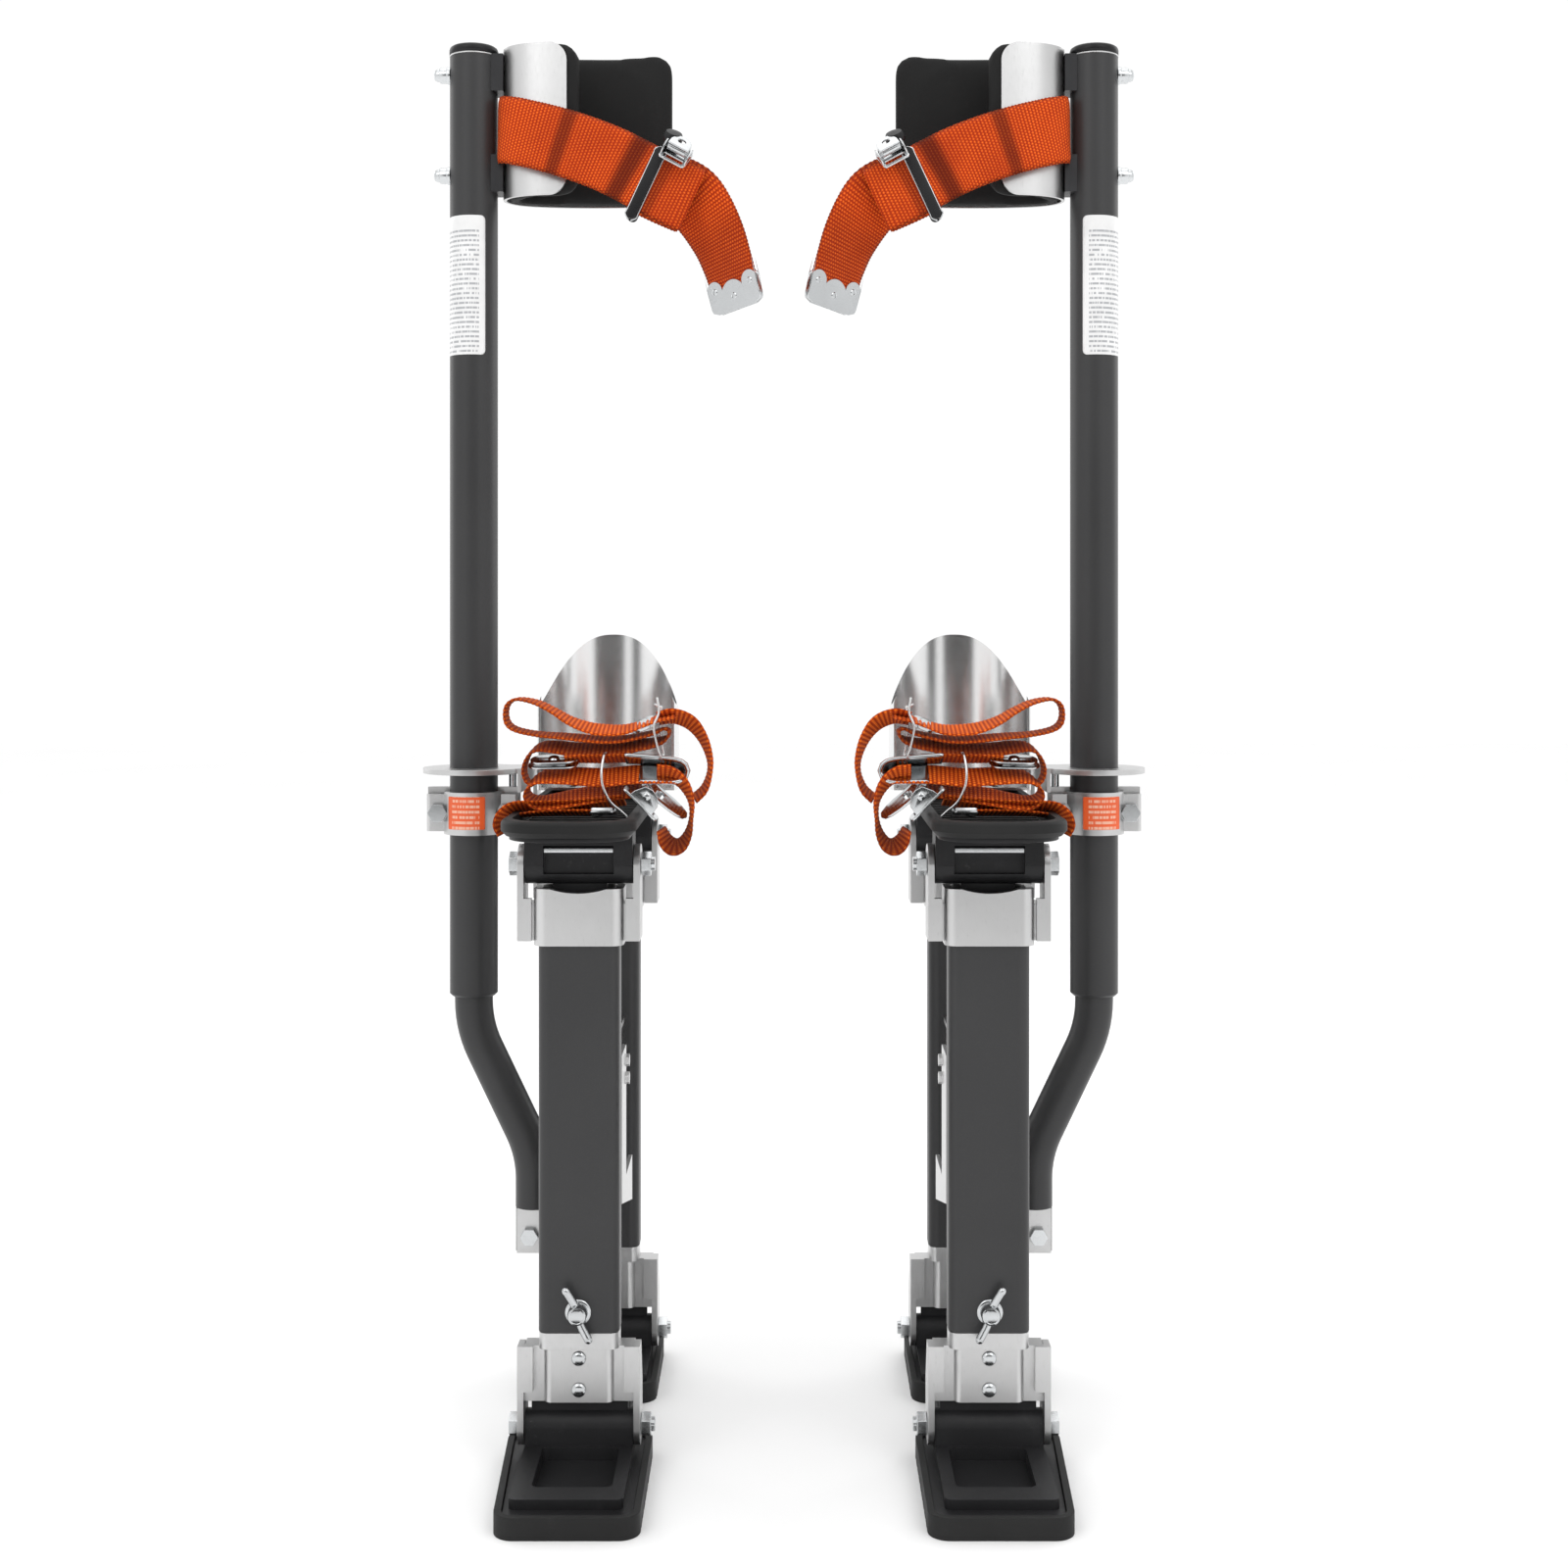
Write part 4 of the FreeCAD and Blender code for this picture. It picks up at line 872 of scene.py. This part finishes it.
# ---- calf pad ----
def calf_pad(side):
    """Foam pad: the CAD pad's own plan, swollen and rounded by a short cloth simulation."""
    node = f"{side}_calf_pad"
    source = frame["nodes"][node]
    mesh = source.data.copy()
    obj = bpy.data.objects.new(f"{side}_foam_pad", mesh)
    scene.collection.objects.link(obj)
    low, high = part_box(node)
    remesh = obj.modifiers.new("even", "REMESH")
    remesh.mode = "VOXEL"
    remesh.voxel_size = 0.0030
    soft = obj.modifiers.new("soft", "SMOOTH")
    soft.factor = 0.5
    soft.iterations = 6
    apply_modifiers(obj)
    puff(obj, frames=14, pressure=3.0, limit=0.0012)
    obj.data.polygons.foreach_set("use_smooth", [True] * len(obj.data.polygons))
    obj.data.materials.clear()
    obj.data.materials.append(MAT["black_foam"])
    band_low, band_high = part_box(f"{side}_calf_band")
    stretch = (band_high.z - band_low.z) / (high.z - low.z)
    for v in obj.data.vertices:
        v.co.z = band_low.z + (min(max(v.co.z, low.z), high.z) - low.z) * stretch
    finish_piece(obj, f"{side}_pole", "black_foam", node)


def apply_modifiers(obj):
    bpy.context.view_layer.update()
    depsgraph = bpy.context.evaluated_depsgraph_get()
    mesh = bpy.data.meshes.new_from_object(obj.evaluated_get(depsgraph))
    obj.modifiers.clear()
    obj.data = mesh


def puff(obj, frames, pressure, limit):
    """Blow the foam's skin out a little with the cloth solver, and cap how far any point moves."""
    before = np.array([v.co for v in obj.data.vertices])
    cloth = obj.modifiers.new("cloth", "CLOTH")
    cloth.settings.quality = 6
    cloth.settings.mass = 0.2
    cloth.settings.tension_stiffness = 30
    cloth.settings.compression_stiffness = 30
    cloth.settings.shear_stiffness = 10
    cloth.settings.bending_stiffness = 4
    cloth.settings.use_pressure = True
    cloth.settings.uniform_pressure_force = pressure
    cloth.settings.effector_weights.gravity = 0
    cloth.point_cache.frame_start = 1
    cloth.point_cache.frame_end = frames
    for number in range(1, frames + 1):
        scene.frame_set(number)
    apply_modifiers(obj)
    scene.frame_set(1)
    after = np.array([v.co for v in obj.data.vertices])
    move = after - before
    far = np.linalg.norm(move, axis=1)
    scale = np.minimum(1.0, limit / np.maximum(far, 1e-9))
    obj.data.vertices.foreach_set("co", (before + move * scale[:, None]).ravel())
    obj.data.update()


# ---- foot straps ----
# Lines are (x, z, twist) in mm, with the middle of the webbing's width at depth y.
TOP_LINE = [
    (68.2, 532.6, -6), (53.9, 529.5, -8), (43.3, 525.6, -10), (30.7, 522.4, -14), (15.9, 522.6, -16),
    (5.3, 524.8, -14), (-5.3, 529.0, -10), (-15.9, 535.4, -6), (-26.4, 540.8, -4), (-36.0, 543.5, -2),
    (-43.4, 543.6, 0), (-48.4, 539.8, 0), (-49.7, 532.7, 0), (-47.6, 526.3, 2), (-41.2, 522.4, 3),
    (-27.5, 519.6, 4), (-11.6, 518.2, 6), (3.2, 516.8, 8), (18.0, 515.6, 8), (30.7, 516.0, 8),
    (43.3, 518.2, 6), (53.9, 520.8, 4), (60.0, 523.2, 0), (63.6, 522.6, 0), (64.0, 519.2, 0),
    (60.0, 515.6, -8), (52.0, 513.2, -14), (43.3, 512.0, -18), (28.5, 509.4, -20), (11.6, 508.6, -20),
    (-3.2, 509.0, -20), (-15.9, 510.6, -18), (-25.4, 510.6, -12), (-31.7, 507.2, -4), (-35.4, 501.0, 0),
    (-36.9, 494.0, 0), (-35.0, 487.5, 0), (-30.5, 483.8, 0),
]
LOOP_LINE = [
    (56, 530.2, -24), (67.0, 531.9, -28), (78.6, 527.4, -28), (87.0, 517.0, -20), (91.8, 504.0, -12),
    (92.2, 493.0, -8), (88.5, 481.5, -12), (81.4, 474.2, -14),
]
MIDDLE_LINE = [
    (-8.0, 501.9, -14), (0.0, 502.3, -15), (8.0, 502.4, -16), (18.1, 502.4, -16), (32.9, 502.8, -16),
    (50.0, 501.9, -15), (66.0, 500.6, -13),
]
WIDE_LINE = [
    (71.0, 490.6, -22), (59.4, 491.6, -26), (43.6, 491.8, -28), (31.0, 490.8, -28), (18.3, 489.6, -28),
    (-2.8, 490.6, -26), (-19.0, 490.6, -22), (-29.2, 487.4, -10), (-34.2, 481.2, 0), (-32.6, 475.2, 12),
    (-25.0, 472.0, 20), (-12.4, 473.4, 24), (3.0, 476.4, 26), (18.3, 478.8, 26), (34.0, 480.6, 24),
    (45.0, 481.6, 22),
]
LOW_LINE = [
    (-51.0, 450.4, -10), (-53.6, 457.4, -14), (-50.0, 464.6, -20), (-42.0, 469.2, -22),
    (-26.9, 470.0, -20), (-2.7, 470.4, -22), (18.4, 472.0, -22), (33.2, 474.0, -22),
]
BOTTOM_LINE = [
    (-47.5, 461.0, -6), (-35.3, 463.8, -10), (-16.4, 465.2, -12), (1.6, 465.4, -12), (17.5, 465.2, -12),
]
DROP_LINE = [
    (56.0, 493.4, -32), (65.0, 492.2, -32), (72.6, 487.6, -26), (77.6, 480.0, -18), (80.0, 471.5, -10),
    (79.8, 462.0, -6), (78.0, 452.0, -12), (73.4, 444.0, -20), (67.4, 442.2, -24), (62.2, 446.6, -20),
    (59.0, 454.6, -10),
]
TIP_LINE = [
    (34.0, 502.8, -16), (50.0, 501.9, -15), (66.0, 500.6, -14), (72.5, 498.6, -16), (74.6, 495.4, -18),
    (72.6, 492.0, -20), (66.0, 491.0, -23), (55.0, 491.7, -26), (43.6, 491.8, -28),
]


def foot_line(line, y):
    return [(x * MM, y * MM, z * MM, t) for x, z, t in line]


def end_plate(name, side, line, y, half, lobes, reach, thick=0.0036, at_start=False, back=0.0):
    """Metal end clip on a foot strap."""
    middle, along, wide, face, _ = run_frames(foot_line(line, y), 0.0025, across=(0, 1, 0))
    i = 0 if at_start else -1
    way = Vector(along[i]) * (-1 if at_start else 1)
    end, across = Vector(middle[i]) - way * back, Vector(wide[i])
    plate = slab(name, side, [lobed_end(half, lobes, reach, 0.003)], end, across, -way, thick, ZINC,
                 bevel=0.0006)
    hold(plate, side)
    normal = across.cross(-way)
    for j, (a, b, _) in enumerate(lobes):
        for k, flip in enumerate((1, -1)):
            hold(rivet(f"{name}_rivet_{j}_{k}", side,
                       end + across * a - way * b + normal * flip * thick / 2, normal * flip, 0.0018,
                       0.0006, ZINC), side)


def foot_straps(side):
    """Folded and tied foot webbing with its metal ends, anchor plates and wire ties."""
    # Each line's dark items are painted shade at the webbing's folds and where the layers above overhang
    # it.
    names = [("top", TOP_LINE, -81.0, ((0.135, 0.06, 0.28), (0.30, 0.09, 0.55))),
             ("loop", LOOP_LINE, -78.0, ((0.085, 0.02, 0.25),)),
             ("middle", MIDDLE_LINE, -82.5, ((0.05, 0.035, 0.35),)),
             ("wide", WIDE_LINE, -85.0, ((0.115, 0.012, 0.35), (0.195, 0.03, 0.6))),
             ("low", LOW_LINE, -86.0, ((0.0, 0.014, 0.4), (0.10, 0.03, 0.2))),
             ("bottom", BOTTOM_LINE, -84.5, ((0.006, 0.01, 0.6),)),
             ("drop", DROP_LINE, -91.5, ((0.062, 0.022, 0.6),))]
    for label, line, y, dark in names:
        strap = webbing(f"foot_webbing_{label}", side, foot_line(line, y), FOOT_W, FOOT_T,
                        MAT["orange_webbing"], across=(0, 1, 0), rib=FOOT_RIB, pitch=FOOT_PITCH,
                        dark=dark)
        finish_piece(strap, f"{side}_foot_plate", "orange_webbing", f"{side}_foot_straps")
    lobes = ((-0.0085, 0.004, 0.0042), (0.0, 0.001, 0.0058), (0.0085, 0.004, 0.0042))
    end_plate("top_end", side, [(68.5, 534.8, -12), (56.5, 530.4, -12), (46.0, 526.2, -12)], -80, 0.0128,
              lobes, 0.0062, 0.0030, back=-0.0)
    tip = webbing("folded_end", side, foot_line(TIP_LINE, -84.0), FOOT_W + 0.0012, 0.0036, ZINC,
                  across=(0, 1, 0))
    hold(tip, side)
    end_plate("bottom_end", side, BOTTOM_LINE, -84.5, 0.0132, lobes, 0.0100, 0.0040)

    washer_at = Vector((-0.0155, -0.087, 0.5022))
    washer = slab("strap_anchor", side, [round_rect(-0.0165, 0.0165, -0.0095, 0.0095, 0.0094, 10),
                                                 circle(0, 0, 0.0022, 18)],
                  washer_at, (1, 0, 0.03), (0, 1, 0.26), 0.0016, ZINC, bevel=0.0006)
    hold(washer, side)
    hold(rivet("strap_anchor_rivet", side, washer_at + Vector((0, 0, 0.0008)), (0, -0.26, 1), 0.0042,
               0.0022, ZINC), side)
    under = slab("strap_anchor_under", side, [round_rect(-0.0185, 0.0165, -0.0105, 0.0105, 0.0100, 10)],
                 washer_at + Vector((0.0005, 0.001, -0.0036)), (1, 0, 0.02), (0, 1, 0.22), 0.0014, ZINC)
    hold(under, side)

    ties = [[(56.3, -93.5, 545.5), (57.6, -95, 535.0), (54.4, -96.2, 526.5), (55.2, -97, 518.1),
             (58.9, -96.5, 504.4), (60.5, -84, 500.0), (59.0, -68, 505.0), (56.5, -66.5, 520.0),
             (57.0, -67.5, 534.0), (58.5, -82, 538.5), (57.5, -93, 538.8), (55.0, -97, 541.0)],
            [(21.5, -84.0, 507.0), (19.8, -95, 505.5), (18.5, -99.6, 495.0), (19.6, -101, 484.5),
             (24.8, -101.2, 474.0), (33.2, -101.0, 466.6), (39.5, -100.5, 460.0)]]
    for i, line in enumerate(ties):
        wire = tube(f"strap_tie_{i}", side, mm(line), 0.0009, MAT["tie_wire"], spacing=0.0012,
                    segments=8, flat=0.8)
        hold(wire, side)


def foot_buckle(side):
    """Cam buckle of the foot strap, leaning over the inner rim of the tread."""
    pivot = (0.0501, -0.094, 0.4782)
    along = Vector((1, 0, -1)).normalized()
    cross = Vector((0, 1, 0))
    at, u, v, w, half = cam_buckle(side, "foot_buckle", "foot_plate", "foot_lever", pivot, along, cross,
                                   0.021, 0.95, (f"{side}_foot_buckle",), (f"{side}_foot_buckle_lever",))
    handle = mm([(-6, -11), (16, -11), (24, -9), (28.5, -5.5), (30, 0), (28.5, 5.5), (24, 9), (16, 11),
                 (-6, 11)])
    lever = slab("foot_lever", side, [handle, round_rect(0.003, 0.009, -0.0055, 0.0055, 0.0026)],
                 at + w * 0.0048, u + w * 0.10, v + w * 0.30, 0.0018, ZINC, bevel=0.0006)
    finish_piece(lever, f"{side}_foot_lever", "bright_zinc")


# ---- wing bolts and ankle rivets ----
def wing_bolts(side):
    """Round-headed bolts with two bent wings, one on each outer strut."""
    for leg, y, out in (("front", FRONT_Y, -1), ("rear", REAR_Y, 1)):
        node = f"{side}_{leg}_wing_bolt"
        low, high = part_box(node)
        face = Vector((0, y + out * 0.0153, (low.z + high.z) / 2))
        ahead = Vector((0, out, 0))
        boss = lathe_about(f"{leg}_wing_boss", side, face, ahead,
                           mm([(0, -2), (3.9, -2), (3.9, 0), (8.6, 0), (9, 0.5), (9, 1.2), (8.4, 1.7),
                               (7, 1.9), (6.6, 2.6), (6.6, 10), (6.1, 11), (5, 11.4), (4.4, 11),
                               (0, 11)]), ZINC)
        finish_piece(boss, node, "bright_zinc", node)
        for i, way in enumerate((1, -1)):
            line = [Vector((-0.0012 * way, 0, 0.0035 * way)), Vector((-0.0025 * way, 0, 0.0075 * way)),
                    Vector((-0.0052 * way, 0, 0.0125 * way)), Vector((-0.0078 * way, 0, 0.0170 * way))]
            points = [tuple(face + p + ahead * (0.0052 + 0.0008 * k)) for k, p in enumerate(line)]
            wing = tube(f"{leg}_wing_{i}", side, points, 0.0029, ZINC, spacing=0.001, segments=16)
            finish_piece(wing, node, "bright_zinc")
            tip = lathe_about(f"{leg}_wing_tip_{i}", side, points[-1], line[-1] - line[-2],
                              mm([(2.9, -1), (3, 0), (2.6, 1.4), (1.6, 2.5), (0, 2.9)]),
                              ZINC, steps=16)
            finish_piece(tip, node, "bright_zinc")
        for i, z in enumerate((0.059, 0.081)):
            head = rivet(f"{leg}_ankle_rivet_{i}", side, (0, y + out * 0.01245, z), ahead, 0.0050, 0.0018,
                         ZINC)
            finish_piece(head, f"{side}_{leg}_shank", "bright_zinc")


# ---- heel cup fixings ----
def heel_fixings(side):
    """Washers and screw heads on the floor of the heel cup."""
    floor_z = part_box(f"{side}_heel_cup")[0].z
    for i, x in enumerate((-0.022, 0.030)):
        at = Vector((x, 0.117, floor_z + 0.0022))
        washer = slab(f"heel_washer_{i}", side, [circle(0, 0, 0.0068, 36), circle(0, 0, 0.0030, 20)],
                      at + Vector((0, 0, 0.0006)), (1, 0, 0), (0, 1, 0), 0.0010, ZINC, bevel=0.0002)
        hold(washer, side)
        head = lathe_about(f"heel_screw_{i}", side, at + Vector((0, 0, 0.0011)), (0, 0, 1),
                           mm([(0, 0), (5, 0), (5, 1.2), (4.2, 2.6), (2.4, 3.4), (2.2, 2), (0, 2)]), ZINC)
        hold(head, side)


for side in SIDES:
    pole_details(side)
    spring_pair(side)
    calf_strap(side)
    slide_loop(side)
    calf_buckle(side)
    calf_pad(side)
    foot_straps(side)
    foot_buckle(side)
    wing_bolts(side)
    heel_fixings(side)


# ---- floor, light and camera ----
def floor_material():
    """Matt, almost white studio floor."""
    s = Shader("studio_floor")
    soft = s.noise(1.3, 3)
    fine = s.noise(220, 3)
    s.colour(s.mix(s.span(soft, 0.3, 0.7), (0.965, 0.965, 0.965), (0.985, 0.985, 0.985)))
    s.set(Specular_IOR_Level=0.12)
    s.roughness(fine, 0.7, 0.85)
    s.bump((fine, 0.05, 0.0004))
    return s.material


floor = add_mesh("studio_floor", [(-9, -9, 0), (9, -9, 0), (9, 9, 0), (-9, 9, 0)], [(0, 1, 2, 3)],
                 floor_material(), smooth=False)


def flag(name, x, y, z, half_w, half_h, tone):
    """Dark card standing behind the camera side, which gives the bright metal its dark reflections."""
    s = Shader(name)
    s.colour(s.mix(s.span(s.noise(3, 3), 0.3, 0.7), (tone, tone, tone),
                   (tone * 1.4, tone * 1.4, tone * 1.4)))
    s.set(Roughness=0.9, Specular_IOR_Level=0.0)
    card = add_mesh(name, [(x - half_w, y, z - half_h), (x + half_w, y, z - half_h),
                           (x + half_w, y, z + half_h), (x - half_w, y, z + half_h)], [(0, 1, 2, 3)],
                    s.material, smooth=False)
    card.visible_shadow = False
    card.visible_diffuse = False
    card.visible_camera = False
    return card


flag("dark_card", 0.0, -2.6, 0.75, 1.3, 0.5, 0.03)


def area_light(name, place_at, target, size, power, spread=math.radians(140)):
    data = bpy.data.lights.new(name, "AREA")
    data.shape = "RECTANGLE"
    data.size, data.size_y = size
    data.energy = power
    data.spread = spread
    lamp = bpy.data.objects.new(name, data)
    scene.collection.objects.link(lamp)
    lamp.location = place_at
    lamp.rotation_euler = (Vector(target) - Vector(place_at)).to_track_quat("-Z", "Y").to_euler()
    return lamp


area_light("key", (-1.5, -2.2, 2.4), (0, 0, 0.5), (1.6, 1.6), 7)
area_light("fill", (1.5, -2.2, 2.4), (0, 0, 0.5), (1.6, 1.6), 7)
area_light("top", (0, 0.2, 3.2), (0, 0, 0.4), (2.6, 2.6), 10)
area_light("rim_left", (-2.2, 1.4, 1.4), (0, 0, 0.6), (0.8, 2.0), 4)
area_light("rim_right", (2.2, 1.4, 1.4), (0, 0, 0.6), (0.8, 2.0), 4)

world = bpy.data.worlds.new("studio")
world.use_nodes = True
world.node_tree.nodes["Background"].inputs["Color"].default_value = (1.0, 1.0, 1.0, 1.0)
world.node_tree.nodes["Background"].inputs["Strength"].default_value = 1.03
scene.world = world
scene.view_settings.view_transform = "Standard"

EYE = (0, -1.515, 0.594)                # level with the pole clamps, on the middle line of the pair
camera_data = bpy.data.cameras.new("camera")
camera_data.sensor_width = 36
camera_data.lens = 47.25
camera_data.shift_y = -0.10
camera_data.clip_end = 60
camera = bpy.data.objects.new("camera", camera_data)
camera.location = EYE
camera.rotation_euler = (math.radians(90), 0, 0)
scene.collection.objects.link(camera)
scene.camera = camera
